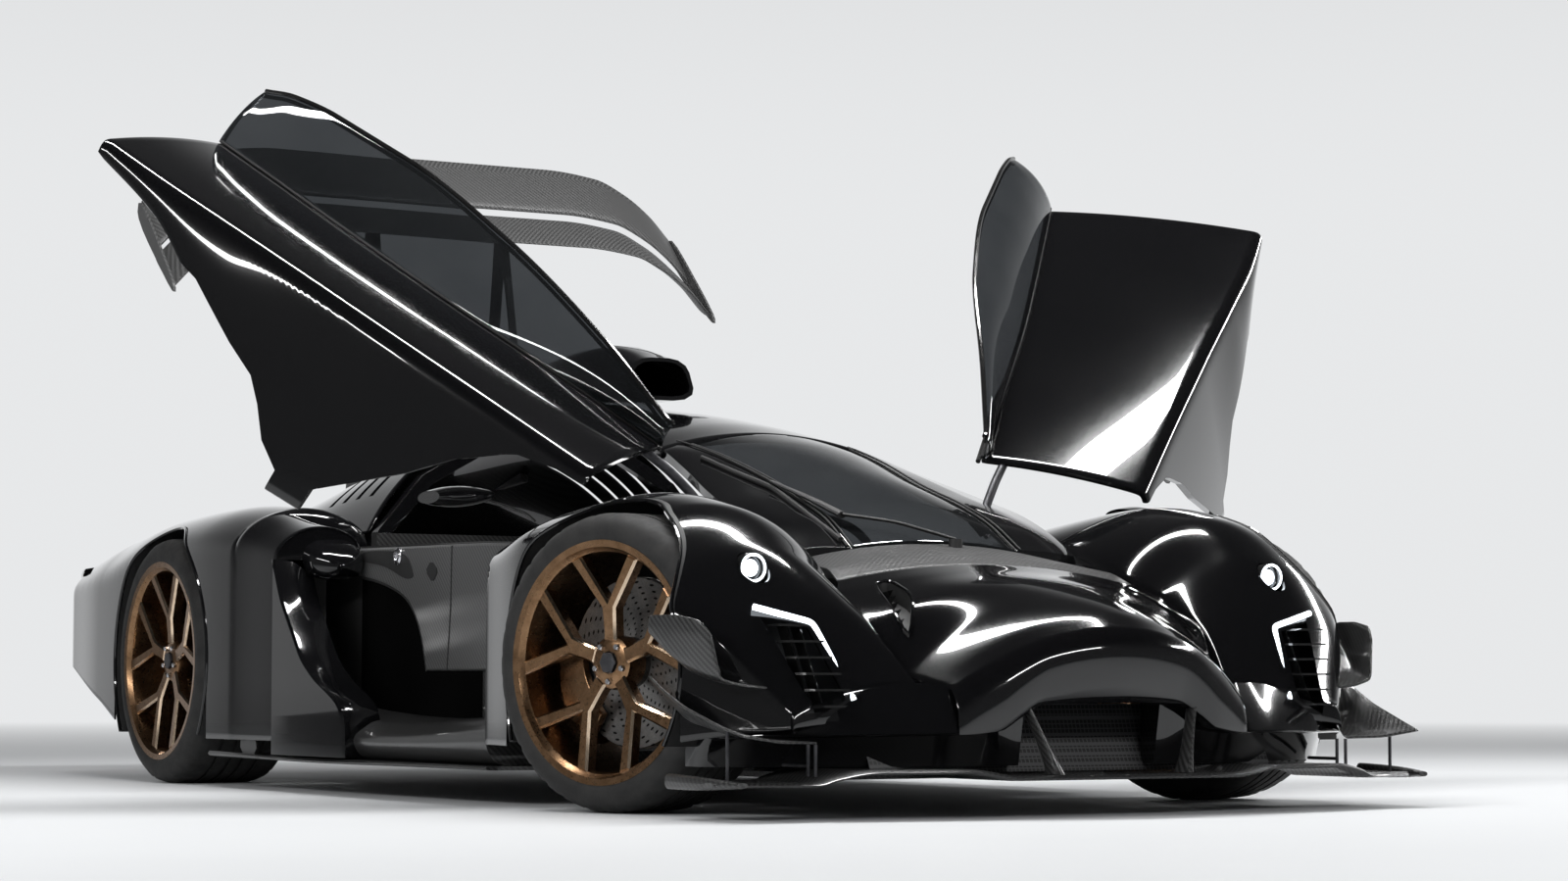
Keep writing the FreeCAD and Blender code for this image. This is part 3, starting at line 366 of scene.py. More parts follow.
class Finish(Nodes):
    """A material with one shader."""

    def __init__(self, name, slot, **settings):
        self.material = bpy.data.materials.new(name)
        self.material.use_nodes = True
        super().__init__(self.material.node_tree)
        self.shader = self.tree.nodes["Principled BSDF"]
        self.place = self.node("ShaderNodeTexCoord").outputs["Object"]
        for key, value in settings.items():
            self.shader.inputs[key.replace("_", " ")].default_value = value
        MATERIALS[name] = self.material

    def link(self, value, socket):
        self.tree.links.new(value, self.shader.inputs[socket])

    def noise(self, scale, detail=4.0):
        inputs = {"Vector": self.place, "Scale": scale, "Detail": detail, "Roughness": 0.5}
        return self.node("ShaderNodeTexNoise", inputs).outputs["Fac"]

    def ramp(self, value, low, high, start=0.0, end=1.0):
        """A colour between two, or a number where low is one."""
        if not isinstance(low, tuple):
            return self.span(value, low, high, start, end)
        item = self.node("ShaderNodeValToRGB", {"Fac": value})
        for stop, position, colour in zip(item.color_ramp.elements, (start, end), (low, high)):
            stop.position = position
            stop.color = colour + (1,)
        return item.outputs["Color"]

    def bump(self, height, strength, distance=0.001):
        item = self.node("ShaderNodeBump", {"Height": height, "Strength": strength, "Distance": distance})
        self.link(item.outputs["Normal"], "Normal")

    def axes(self):
        return self.node("ShaderNodeSeparateXYZ", {0: self.place}).outputs

    def twill(self, cell):
        """The tone of a 2 by 2 twill weave, laid on the plane that a face lies nearest to."""
        x, y, z = (self.math("DIVIDE", part, cell) for part in self.axes())
        facing = self.node("ShaderNodeSeparateXYZ", {0: self.node("ShaderNodeNewGeometry").outputs["Normal"]})
        nx, ny, nz = (self.math("ABSOLUTE", part) for part in facing.outputs)
        side = self.math("GREATER_THAN", ny, self.math("MAXIMUM", nx, nz))
        front = self.math("GREATER_THAN", nx, self.math("MAXIMUM", ny, nz))
        u = self.math("MULTIPLY_ADD", self.math("SUBTRACT", y, x), front, x)
        v = self.math("MULTIPLY_ADD", self.math("SUBTRACT", z, y), self.math("MAXIMUM", side, front), y)
        steps = self.math("ADD", self.math("FLOOR", u), self.math("FLOOR", v))
        over = self.math("LESS_THAN", self.math("PINGPONG", self.math("ADD", steps, 0.5), 2.0), 1.0)
        warp = self.math("ABSOLUTE", self.math("SINE", self.math("MULTIPLY", u, math.pi)))
        weft = self.math("ABSOLUTE", self.math("SINE", self.math("MULTIPLY", v, math.pi)))
        return over, self.math("MULTIPLY_ADD", self.math("SUBTRACT", warp, weft), over, weft)


FINISHES = [
    # name, slot, inputs of the shader, then noises: colour (scale, detail, low, high, start, end),
    # roughness (scale, low, high) and bump (scale, detail, strength, distance)
    ("black_lacquer", "black_paint",
     {"Specular_IOR_Level": 0.12, "Coat_Weight": 1.0, "Coat_Roughness": 0.012},
     (900, 2, (0.0015, 0.0015, 0.0018), (0.012, 0.012, 0.013), 0.45, 0.75), (3, 0.08, 0.16),
     (220, 1, 0.012, 0.001)),
    ("dark_glass", "tinted_glass", {"Roughness": 0.0, "IOR": 1.5, "Transmission_Weight": 0.92},
     (6, 4, (0.05, 0.055, 0.06), (0.08, 0.085, 0.09), 0, 1), (40, 0.0, 0.02), ()),
    ("rubber", "tyre", {"Specular_IOR_Level": 0.35},
     (25, 6, (0.010,) * 3, (0.024, 0.023, 0.022), 0.3, 0.8), (90, 0.55, 0.8), (700, 3, 0.25, 0.0006)),
    ("suede", "seat_cover", {"Roughness": 0.95, "Sheen_Weight": 0.5, "Sheen_Roughness": 0.4},
     (14, 5, (0.012, 0.012, 0.013), (0.035, 0.034, 0.035), 0.3, 0.75), (), (1400, 2, 0.35, 0.0008)),
    # painted shade: a near-black sheet without reflection, put where only a dark hollow shows
    ("painted_shade_void", "dark_trim", {"Roughness": 1.0, "Specular_IOR_Level": 0.0},
     (4, 4, (0.0015,) * 3, (0.004,) * 3, 0, 1), (), ()),
]
METALS = [
    # name, slot, metallic, dark and pale colour, lowest roughness, strength of the grain
    ("bronze", "bronze_wheel", 1.0, (0.20, 0.115, 0.06), (0.30, 0.18, 0.10), 0.21, 0.05),
    ("bronze_cut", "bronze_wheel", 1.0, (0.62, 0.46, 0.32), (0.78, 0.62, 0.46), 0.10, 0.05),
    ("cast", "cast_metal", 1.0, (0.30, 0.30, 0.31), (0.42, 0.42, 0.43), 0.39, 0.12),
    ("dark_metal", "dark_metal", 0.7, (0.035, 0.035, 0.04), (0.07, 0.07, 0.075), 0.36, 0.12),
    ("steel", "cast_metal", 1.0, (0.50, 0.50, 0.52), (0.62, 0.62, 0.64), 0.16, 0.12),
]
FINISHES += [(name, slot, {"Metallic": metallic}, (45, 6, low, high, 0.3, 0.7), (160, rough, rough + 0.16),
              (900, 2, grain, 0.0004)) for name, slot, metallic, low, high, rough, grain in METALS]
TRIMS = [
    # name, coat, dark and pale tone, lowest roughness, scale and strength of the grain
    ("moulding", 0.0, 0.010, 0.022, 0.51, 500, 0.2),
    ("gloss_trim", 0.6, 0.006, 0.012, 0.06, 60, 0.01),
    ("seal", 0.0, 0.008, 0.016, 0.66, 260, 0.15),
]
FINISHES += [(name, "dark_trim", {"Coat_Weight": coat}, (8, 4, (low,) * 3, (high,) * 3, 0, 1),
              (30, rough, rough + 0.1), (scale, 2, grain, 0.0005))
             for name, coat, low, high, rough, scale, grain in TRIMS]
CARBONS = [
    # name, slot, dark and pale tone of the weave, roughness, coat and its roughness
    ("carbon_gloss", "gloss_carbon", 0.004, 0.045, 0.28, 0.6, 0.03),
    ("carbon_satin", "satin_carbon", 0.03, 0.085, 0.42, 0.15, 0.3),
    ("carbon_weave", "gloss_carbon", 0.008, 0.13, 0.30, 0.5, 0.3),
    ("carbon_grey", "satin_carbon", 0.028, 0.075, 0.38, 0.15, 0.3),
]
HEAT_FROM, HEAT_TO = -2.30, -2.05
HEAT_TINTS = [
    # place from the exhausts' ends forward, colour
    (0.0, (0.10, 0.13, 0.30)), (0.3, (0.32, 0.14, 0.26)), (0.55, (0.52, 0.34, 0.14)),
    (1.0, (0.50, 0.48, 0.45)),
]
GLOWS = [
    # name, slot, colour, strength
    ("lamp_light", "white_light", (0.86, 0.93, 1.0), 4.0),
    ("tail_light", "red_light", (1.0, 0.03, 0.02), 1.6),
]
TWILL_CELL = 0.004


def finishes():
    for name, slot, inputs, (scale, detail, *colours), rough, bump in FINISHES:
        finish = Finish(name, slot, **inputs)
        finish.link(finish.ramp(finish.noise(scale, detail), *colours), "Base Color")
        if rough:
            finish.link(finish.ramp(finish.noise(rough[0]), *rough[1:]), "Roughness")
        if bump:
            finish.bump(finish.noise(*bump[:2]), *bump[2:])
    for name, slot, dark, pale, rough, coat, coat_rough in CARBONS:
        carbon = Finish(name, slot, Specular_IOR_Level=0.3, Coat_Weight=coat, Coat_Roughness=coat_rough)
        over, height = carbon.twill(TWILL_CELL)
        # Each tow is painted lighter along its crown and darker at its edges: painted sheen and painted shade
        # between the tows, on top of the weave's own pattern
        tone = carbon.math("MULTIPLY_ADD", over, 0.65, carbon.math("MULTIPLY", height, 0.35))
        carbon.link(carbon.ramp(tone, (dark,) * 3, (pale,) * 3), "Base Color")
        carbon.link(carbon.ramp(over, rough, rough + 0.14), "Roughness")
        carbon.bump(height, 0.2, 0.0005)
    for name, slot, colour, strength in GLOWS:
        lamp = Finish(name, slot, Roughness=0.3, Emission_Strength=strength)
        glow = lamp.ramp(lamp.noise(18.0), tuple(0.85 * c for c in colour), colour)
        lamp.link(glow, "Base Color")
        lamp.link(glow, "Emission Color")


def heat_tint():
    """Bare steel, blue and straw coloured towards the exhausts' ends."""
    exhaust = Finish("heat_tint", "exhaust_metal", Metallic=1.0)
    along = exhaust.ramp(exhaust.axes()[0], 0.0, 1.0, HEAT_FROM, HEAT_TO)
    heat = exhaust.math("MULTIPLY_ADD", exhaust.noise(30.0), 0.25, along)
    tint = exhaust.node("ShaderNodeValToRGB", {"Fac": heat})
    stops = tint.color_ramp.elements
    for i, (position, colour) in enumerate(HEAT_TINTS):
        stop = stops[i] if i < 2 else stops.new(position)
        stop.position = position
        stop.color = colour + (1,)
    exhaust.link(tint.outputs["Color"], "Base Color")
    exhaust.link(exhaust.ramp(exhaust.noise(200.0), 0.2, 0.38), "Roughness")


def disc_face():
    """A disc turned on a lathe; its drilled holes are painted near-black on the face, as painted shade."""
    disc = Finish("disc_face", "brake_disc", Metallic=0.85, Anisotropic=0.6)
    x, _, z = disc.axes()
    radius = disc.math("SQRT", disc.math("ADD", disc.math("MULTIPLY", x, x), disc.math("MULTIPLY", z, z)))
    rings = disc.math("SINE", disc.math("MULTIPLY", radius, 5200.0))
    swept = disc.math("MULTIPLY_ADD", disc.math("ARCTAN2", z, x), 24.0, disc.math("MULTIPLY", radius, 130.0))
    rows = disc.math("SINE", disc.math("MULTIPLY", radius, 260.0))
    # painted shade: near-black spots where the drilled holes' dark insides would show
    painted_hole_shade = disc.math("GREATER_THAN", disc.math("MULTIPLY", disc.math("SINE", swept), rows), 0.72)
    tone = disc.math("MULTIPLY_ADD", rings, 0.12, disc.noise(60.0))
    face = disc.ramp(tone, (0.10, 0.10, 0.10), (0.24, 0.23, 0.22))
    inputs = {"Factor": painted_hole_shade, "A": face, "B": (0.004, 0.004, 0.004, 1)}
    mix = disc.node("ShaderNodeMix", inputs, data_type="RGBA")
    disc.link(mix.outputs[2], "Base Color")
    disc.link(disc.ramp(rings, 0.25, 0.4, -1.0, 1.0), "Roughness")


def wire_mesh():
    mesh = Finish("mesh", "dark_trim", Roughness=0.5)
    cells = mesh.node("ShaderNodeTexVoronoi", {"Vector": mesh.place, "Scale": 90.0, "Randomness": 0.0},
                      feature="DISTANCE_TO_EDGE")
    # The openings between the wires are not cut: they are painted near-black, as painted shade of the dark
    # duct behind
    wire = mesh.math("LESS_THAN", cells.outputs["Distance"], 0.12)
    mesh.link(mesh.ramp(wire, (0.001, 0.001, 0.001), (0.045, 0.045, 0.047)), "Base Color")
    mesh.bump(wire, 0.6, 0.002)


finishes()
heat_tint()
disc_face()
wire_mesh()


# Fenders and bonnet

FRONT_FENDER = [
    # x, y_in, y_out, z_low, z_in, z_out, y_crown, z_crown
    (-556, 478, 950, 150, 632, 600, 760, 690),
    (-300, 460, 985, 150, 636, 640, 780, 728),
    (-50, 440, 992, 150, 610, 640, 793, 745),
    (150, 425, 990, 150, 565, 600, 790, 712),
    (320, 466, 970, 160, 500, 500, 770, 615),
    (450, 466, 900, 180, 440, 420, 740, 490),
    (600, 436, 770, 200, 300, 240, 640, 290),
]
REAR_FENDER = [
    (-1880, 706, 965, 140, 690, 660, 900, 718),
    (-2145, 706, 983, 140, 720, 688, 850, 782),
    (-2160, 560.3, 985, 140, 730, 690, 850, 785),
    (-2450, 560.3, 992, 140, 740, 700, 850, 803),
    (-2900, 560.3, 988, 140, 730, 680, 850, 785),
    (-3300, 560.3, 970, 250, 700, 620, 850, 735),
    (-3649, 560.3, 930, 350, 680, 600, 800, 700),
]
FENDERS = [
    # axle, its table, xs of the skin, how far its rounded ends stand out in front and at the rear,
    # x, radius and height of the arch, z where its lip ends, y where its lining ends and where its cut starts
    ("front", FRONT_FENDER, np.linspace(-556, 600, 88), (12.0, -10.0), (0, 397, 330), 160, 520, 790),
    ("rear", REAR_FENDER, np.linspace(-3649, -1880, 110), (0.0, 0.0), (REAR_AXLE, 395, 363), 150, 570, 860),
]
GRILLE = [(430, 776, 448), (430, 672, 424), (430, 634, 262), (430, 712, 224)]
LAMP = (332, 740, 560)
NOSE = [
    # x at the middle, half width, z at the edge, z at the middle, how far the edge lies back
    (236, 424, 540, 584, 0),
    (320, 465, 500, 565, 0),
    (450, 465, 440, 540, 6),
    (600, 440, 318, 500, 34),
    (700, 415, 298, 462, 62),
    (765, 400, 288, 425, 84),
]
LIP = [
    # y, then x and z of the body's lower front edge, z where the corner meets the skin above, x there
    (0, 750, 257, 262, 745),
    (190, 745, 254, 262, 738),
    (250, 742, 226, 268, 732),
    (307, 735, 194, 276, 716),
    (400, 716, 186, 300, 668),
    (500, 690, 185, 300, 622),
    (612, 648, 184, 276, 604),
    (712, 607, 182, 250, 588),
    (800, 550, 180, 236, 532),
    (876, 474, 178, 220, 460),
]
OUTLET = [(545, 425), (420, 330), (290, 318), (300, 372)]
OUTLET_SLATS = (330, 365, 400, 435, 470)


def fender_sections(table, xs):
    """The fender's outer face at the given xs, from its inner edge over the crown down."""
    sections = []
    for x, (y_in, y_out, z_low, z_in, z_out, y_crown, z_crown) in zip(xs, between(table, xs)):
        top = arc((y_in, z_in), (y_crown, z_crown), (y_out, z_out), 28)
        line = eased(evenly([(y_in, z_in - 60)] + top + [(y_out, z_low)], 72), 5)
        sections.append(np.array(at_x(x, line)))
    return sections


def fender_end(row, low, reach):
    """Rows that close a fender's end, drawn together towards a height."""
    closing = []
    for k in range(1, 6):
        t = math.pi / 2 * k / 5
        end = row.copy()
        end[:, 0] += reach * math.sin(t)
        end[:, 2] = low + (row[:, 2] - low) * (0.25 + 0.75 * math.cos(t))
        closing.append(end)
    return closing


def fender_grid(table, xs, front, rear):
    rows = fender_sections(table, xs)
    if rear:
        rows = fender_end(rows[0], 150.0, rear)[::-1] + rows
    if front:
        rows = rows + fender_end(rows[-1], 190.0, front)
    return rows


def arch_cutter(side, x, radius, height, y):
    """What a wheel housing takes out of a fender."""
    turn = [math.radians(180 * i / 72) for i in range(73)]
    outline = [(x + radius * math.cos(t), height + radius * math.sin(t)) for t in turn]
    outline += [(x - radius, -20), (x + radius, -20)]
    return Piece("arch", side).prism(at_y(y, outline), (0, 600, 0))


def height_on(section, ys):
    """Heights of a section's upper face at the given ys."""
    line = section[np.argmax(section[:, 2] > section[0, 2]):]
    order = np.argsort(line[:, 1])
    return np.interp(ys, line[order, 1], line[order, 2])


def depth_on(section, z):
    """How far out a section's outer face is at a given height."""
    line = section[int(np.argmax(section[:, 2])):]
    return float(np.interp(z, line[::-1, 2], line[::-1, 1]))


def arch_lip(name, side, table, x, radius, height, low, deepest):
    """The bead round an arch, and the wheel housing's lining as far inwards as the fender covers it."""
    reach = math.degrees(math.asin((height - low) / radius))
    turn = [math.radians(-reach + (180 + 2 * reach) * i / 96) for i in range(97)]
    edge = [(x + radius * math.cos(t), height + radius * math.sin(t)) for t in turn]
    path = []
    lining = []
    for (px, pz), section in zip(edge, fender_sections(table, [px for px, _ in edge])):
        y = depth_on(section, pz)
        path.append((px, y, pz))
        ys = np.linspace(deepest, y - 3, 40)
        covered = ys[height_on(section, ys) > pz + 14]
        inner = covered[0] if len(covered) else y - 12
        bx, bz = px + (px - x) / radius * 5, pz + (pz - height) / radius * 5
        lining.append([(px, y - 3, pz), (bx, y - 3, bz), (bx, inner, bz), (px, inner, pz)])
    bead = Piece(name, side)
    bead.tube(path, 5.0)
    bead.loops(lining, 1)
    bead.make(["black_lacquer", "moulding"])


def lamp_part(section, kind=0, steps=48, side=1):
    """A section turned about the headlamp's axis, which points ahead."""
    part = Piece("lamp_part", side).turned(section, kind, steps)
    part.points = [(LAMP[0] + y, LAMP[1] + x, LAMP[2] + z) for x, y, z in part.points]
    return part


def fenders(side, word):
    for axle, table, xs, ends, arch, low, deepest, y_cut in FENDERS:
        cuts = [arch_cutter(side, *arch, y_cut)]
        if axle == "front":
            lamp_hole = lamp_part([(0, 0.01), (90, 0.01), (90, 36), (0, 36)], steps=40, side=side)
            cuts += [Piece("grille_hole", side).prism(GRILLE, (230, 0, 0)), lamp_hole]
        skin = Piece("%s_fender_panel_%s" % (axle, word), side)
        skin.shell(fender_grid(table, xs, *ends), BODY_SHEET, (arch[0], 700, 300))
        skin.make("black_lacquer", replaces=("%s_fender_%s" % (axle, word),), cuts=cuts)
        arch_lip("%s_arch_lip_%s" % (axle, word), side, table, *arch, low, deepest)


def rear_fender_nose(side, word):
    """The closed front of a rear fender, with a rounded end above the side intake."""
    piece = Piece("rear_fender_nose_" + word, side)
    section = fender_sections(REAR_FENDER, [REAR_FENDER[0][0]])[0]
    wall = shrunk([(y, z) for _, y, z in section if z > 590], 2.0)
    piece.prism(at_x(-1886, wall), (7, 0, 0))
    rows = []
    for share in np.sin(np.linspace(0, math.pi / 2, 12)):
        size = math.sqrt(max(1 - share ** 2, 0.002))
        x, z = -1884 + 96 * share, 644 - 22 * share
        ring = [squared(t, 0.7, 0.8) for t in full_turn(40)]
        rows.append([(x, 795 + 88 * size * w, z + 56 * size * h) for w, h in ring])
    piece.loops(rows)
    piece.make("black_lacquer", angle=60)


def arched(table, xs, count=49):
    """Arcs across the car, through an edge on each side and a point in the middle."""
    rows = []
    for x, (half, z_edge, z_middle, *back) in zip(xs, between(table, xs)):
        line = arc((-half, z_edge), (0, z_middle), (half, z_edge), count)
        rows.append([(x - sum(back) * (y / half) ** 2, y, z) for y, z in line])
    return rows


def nose_grid():
    """The bonnet, and its front curving down to the body's lower edge."""
    rows = arched(NOSE, np.linspace(236, 765, 56))
    top = np.array(rows[-1])
    low = np.array([(x, y, z) for y, (x, z, _, _) in zip(top[:, 1], between(LIP, np.abs(top[:, 1])))])
    # The curve's middle line stands out most at the car's middle.
    bulge = low.copy()
    bulge[:, 0] = np.maximum(top[:, 0], low[:, 0]) + 5 + 55 * (1 - (top[:, 1] / 400) ** 2)
    bulge[:, 2] += 0.66 * (top[:, 2] - low[:, 2])
    for t in np.linspace(0, 1, 13)[1:]:
        rows.append((1 - t) ** 2 * top + 2 * t * (1 - t) * bulge + t * t * low)
    return rows


def arc_height(half, z_edge, z_middle, y, count):
    section = np.array(arc((-half, z_edge), (0, z_middle), (half, z_edge), count))
    return float(np.interp(y, section[:, 0], section[:, 1]))


def on_nose(x, y):
    """A point of the bonnet above a place."""
    return x, y, arc_height(*between(NOSE, [x])[0][:3], y, 61)


def bonnet():
    hole = [(x, y, 300) for x, y in rounded(OUTLET, 2, 0.2)]
    cuts = [Piece("outlet", side).prism(hole, (0, 0, 300)) for side, _ in SIDES]
    skin = Piece("bonnet").shell(nose_grid(), BODY_SHEET, (500, 0, 200))
    skin.make("black_lacquer", replaces=("nose",), cuts=cuts)


def bonnet_outlet(side, word):
    """The rim, the sunk floor and the slats of one of the bonnet's outlets."""
    piece = Piece("bonnet_outlet_" + word, side)
    rim = np.array([on_nose(x, y) for x, y in rounded(OUTLET, 2, 0.2)])
    top, bottom, floor_top, floor_low = (rim - (0, 0, drop) for drop in (2, 47, 46, 50))
    piece.tube(top, 4, 0, closed=True)
    piece.loops([floor_top, floor_low], 1)
    piece.loops([top, bottom], 1, caps=False)
    for x in OUTLET_SLATS:
        near = on_nose(x, np.interp(x, (290, 300, 545), (318, 318, 420)) + 4)
        far = on_nose(x, np.interp(x, (300, 545), (372, 425)) - 4)
        slat = [(px + dx, y, z - dz) for (px, y, z), dx, dz in (
            (near, 0, 12), (far, 0, 12), (far, -22, 34), (near, -22, 34))]
        piece.prism(slat, (4, 0, 0), 2)
    piece.make(["black_lacquer", "moulding", "gloss_trim"])


# Cowl, windscreen and wiper

COWL = [
    # x, half width, z_edge, z_middle
    (4, 425, 588, 640),
    (158, 410, 572, 606),
    (236, 424, 540, 584),
]
CANOPY = [
    # x, y and z of the windscreen's edge, y and z of the pillar's outer edge, z of the windscreen's middle
    (0, 240, 626, 422, 618, 644),
    (-120, 233, 700, 429, 680, 724),
    (-250, 228, 751, 436, 729, 786),
    (-400, 216, 801, 413, 778, 845),
    (-640, 232, 880, 358, 858, 922),
    (-789, 245, 919, 330, 906, 957),
    (-840, 250, 930, 320, 915, 968),
]
WIPER_PIVOT, WIPER_KNEE, WIPER_JOINT = (30, 40, 652), (-88, -215), (-350, -262)
WIPER_BLADE = [(-20, -262), (-180, -282), WIPER_JOINT, (-520, -290), (-640, -300)]


def windscreen():
    table = [(x, y_edge, z_edge, z_middle) for x, y_edge, z_edge, _, _, z_middle in CANOPY]
    grid = arched(table, np.linspace(-789, 0, 70))
    glass = Piece("windscreen_glass").shell(grid, GLASS_SHEET, (-400, 0, 300))
    glass.make("dark_glass", replaces=("windscreen",))


def canopy_height(x, y):
    """Height of the windscreen or its pillar at a place."""
    y_edge, z_edge, y_out, z_out, z_middle = between(CANOPY, [x])[0]
    if abs(y) > y_edge:
        return z_edge + (z_out - z_edge) * (abs(y) - y_edge) / (y_out - y_edge)
    return arc_height(y_edge, z_edge, z_middle, y, 41)


def wiper():
    """One arm from the middle of the cowl, and its blade along the near pillar."""
    def above(points, lift):
        return [(x, y, canopy_height(x, y) + lift) for x, y in points]

    arm = above([WIPER_KNEE, (-180, -238), WIPER_JOINT], 24)
    piece = Piece("wiper")
    piece.tube([WIPER_PIVOT[:2] + (620,), WIPER_PIVOT], 17, sides=24)
    piece.tube(smooth([WIPER_PIVOT] + above([(-40, -90), WIPER_KNEE], 26), 12, 1), 9, sides=10, flat=0.5)
    piece.tube(smooth(arm, 16, 1), np.linspace(15, 7, 16), sides=10, flat=0.6)
    piece.tube(smooth(above(WIPER_BLADE, 10), 40, 2), 7, 1, sides=8)
    piece.make(["moulding", "seal"])


each_side(fenders)
each_side(rear_fender_nose)
bonnet()
each_side(bonnet_outlet)
cowl = Piece("cowl_panel").shell(arched(COWL, np.linspace(4, 232, 24)), BODY_SHEET, (0, 0, 300))
cowl.make("carbon_grey", replaces=("cowl",))
windscreen()
wiper()


# Doors, drawn closed and then turned about their hinges to where they stand open

DOOR_HINGE = (-417, 410, 710)
DOOR_AXIS = Vector((-0.197, -0.555, 0.808)).normalized()
DOOR_ANGLE = 55.3
DOOR = [
    # x, y_belt, z_belt, y_shoulder, z_shoulder, y_low, z_low
    (-620, 390, 800, 820, 706, 850, 270),
    (-900, 385, 812, 845, 722, 880, 270),
    (-1300, 378, 824, 885, 744, 920, 270),
    (-1650, 358, 838, 920, 764, 950, 560),
    (-1880, 342, 850, 938, 776, 955, 700),
    (-2092, 326, 860, 948, 790, 956, 756),
]
DOOR_XS = np.linspace(-2092, -620, 90)
DOOR_CUTS = (
    # x and z of what is cut away in front, and at the rear
    [(-400, 0), (-400, 672), (-700, 672), (-800, 653), (-830, 636), (-925, 566), (-1010, 474), (-1190, 320),
     (-1210, 0)],
    [(-1290, 0), (-1290, 314), (-1356, 360), (-1410, 430), (-1460, 482), (-1545, 523), (-1700, 613),
     (-2120, 720), (-2120, 0)],
)
GLASS_TOP = [
    # x, then y and z of the side glass's upper edge
    (-640, 398, 868), (-900, 345, 950), (-1300, 256, 1032), (-1650, 222, 1070), (-1880, 222, 1070),
    (-2010, 222, 1056), (-2092, 222, 1028),
]
DOOR_SHEET = 20.0
LINING_SHEET = 10.0
LINING_DEPTH = 22.5
HINGE_ARM = [DOOR_HINGE, (-470, 420, 740), (-560, 430, 765), (-650, 440, 776)]


def door_place(side):
    hinge = Vector(((FRONT_AXLE + DOOR_HINGE[0]) / 1000, side * DOOR_HINGE[1] / 1000, DOOR_HINGE[2] / 1000))
    axis = Vector((DOOR_AXIS.x, DOOR_AXIS.y * side, DOOR_AXIS.z))
    turn = Matrix.Rotation(math.radians(-DOOR_ANGLE * side), 4, axis)
    return Matrix.Translation(hinge) @ turn @ Matrix.Translation((-FRONT_AXLE / 1000, 0, 0))


def door_section(x, row, depth=0.0):
    """The door's outer face at one place, from the belt over the shoulder down, or a face behind it."""
    yb, zb, ys, zs, yl, zl = row
    top = arc((yb, zb - depth), ((yb + ys) / 2, (zb + zs) / 2 + 12 - depth), (ys - depth, zs - depth), 20)
    low = arc((ys - depth, zs - depth), ((ys + yl) / 2 + 8 - depth, (zs + zl) / 2), (yl - depth, zl), 16)
    return at_x(x, eased(evenly(top + low[1:], 64), 3))


def in_door_frame(piece):
    """Doors are drawn about their hinge, so their numbers lose the hinge's place first."""
    piece.points = [(x - DOOR_HINGE[0], y - DOOR_HINGE[1], z - DOOR_HINGE[2]) for x, y, z in piece.points]
    return piece


def door(side, word):
    place = door_place(side)
    body = "door_" + word

    def made(piece, finish, node=None, cut=False, bevel=0.0):
        cuts = [Piece("door_cut", side).prism(at_y(600, line), (0, 600, 0)) for line in DOOR_CUTS if cut]
        cuts = [in_door_frame(cutter) for cutter in cuts]
        replaces = ("door_%s_%s" % (node, word),) if node else ()
        in_door_frame(piece).make(finish, body, replaces, place, cuts=cuts, bevel=bevel)

    skin = Piece("door_panel_" + word, side)
    xs = np.linspace(-2081, -631, 90)
    skin.shell([door_section(x, r) for x, r in zip(xs, between(DOOR, xs))], DOOR_SHEET, (-1300, 0, 300))
    made(skin, "black_lacquer", "skin", cut=True)

    hinge = Piece("door_hinge_" + word, side)
    reach = np.array(DOOR_AXIS) * 27
    centre = np.array(DOOR_HINGE, float)
    hinge.tube([centre - reach, centre + reach], 17, sides=32)
    hinge.tube(smooth(HINGE_ARM, 16), 12, sides=16)
    made(hinge, "dark_metal", bevel=2)

    rows, tops = between(DOOR, DOOR_XS), between(GLASS_TOP, DOOR_XS)
    grid = []
    for x, (yb, zb, *_), (yt, zt) in zip(DOOR_XS, rows, tops):
        grid.append(at_x(x, arc((yb, zb + 2), ((yb + yt) / 2 + 16, (zb + zt) / 2 + 16), (yt, zt), 25)))
    made(Piece("door_window_" + word, side).shell(grid, GLASS_SHEET, (-1300, 0, 500)), "dark_glass", "glass")

    xs = np.linspace(-1650, -700, 50)
    grid = []
    for x, (yb, zb, ys, zs, _, _) in zip(xs, between(DOOR, xs)):
        grid.append(door_section(x, (yb, zb, ys, zs, ys + 9, zs - 150), LINING_DEPTH))
    lining = Piece("door_lining_" + word, side).shell(grid, LINING_SHEET, (-1300, 0, 300))
    made(lining, "carbon_satin", "trim", cut=True)

    seals = Piece("door_seals_" + word, side)
    for line, inward, up, radius, kind in ((rows, 4, 4, 5, 0), (rows, 16, -8, 7, 0), (tops, 0, 0, 7, 1),
                                           (tops, 1, -16, 5, 0)):
        seals.tube([(x, r[0] - inward, r[1] + up) for x, r in zip(DOOR_XS, line)], radius, kind)
    made(seals, ["seal", "gloss_trim"])


each_side(door)


# Sides, splitter and winglets

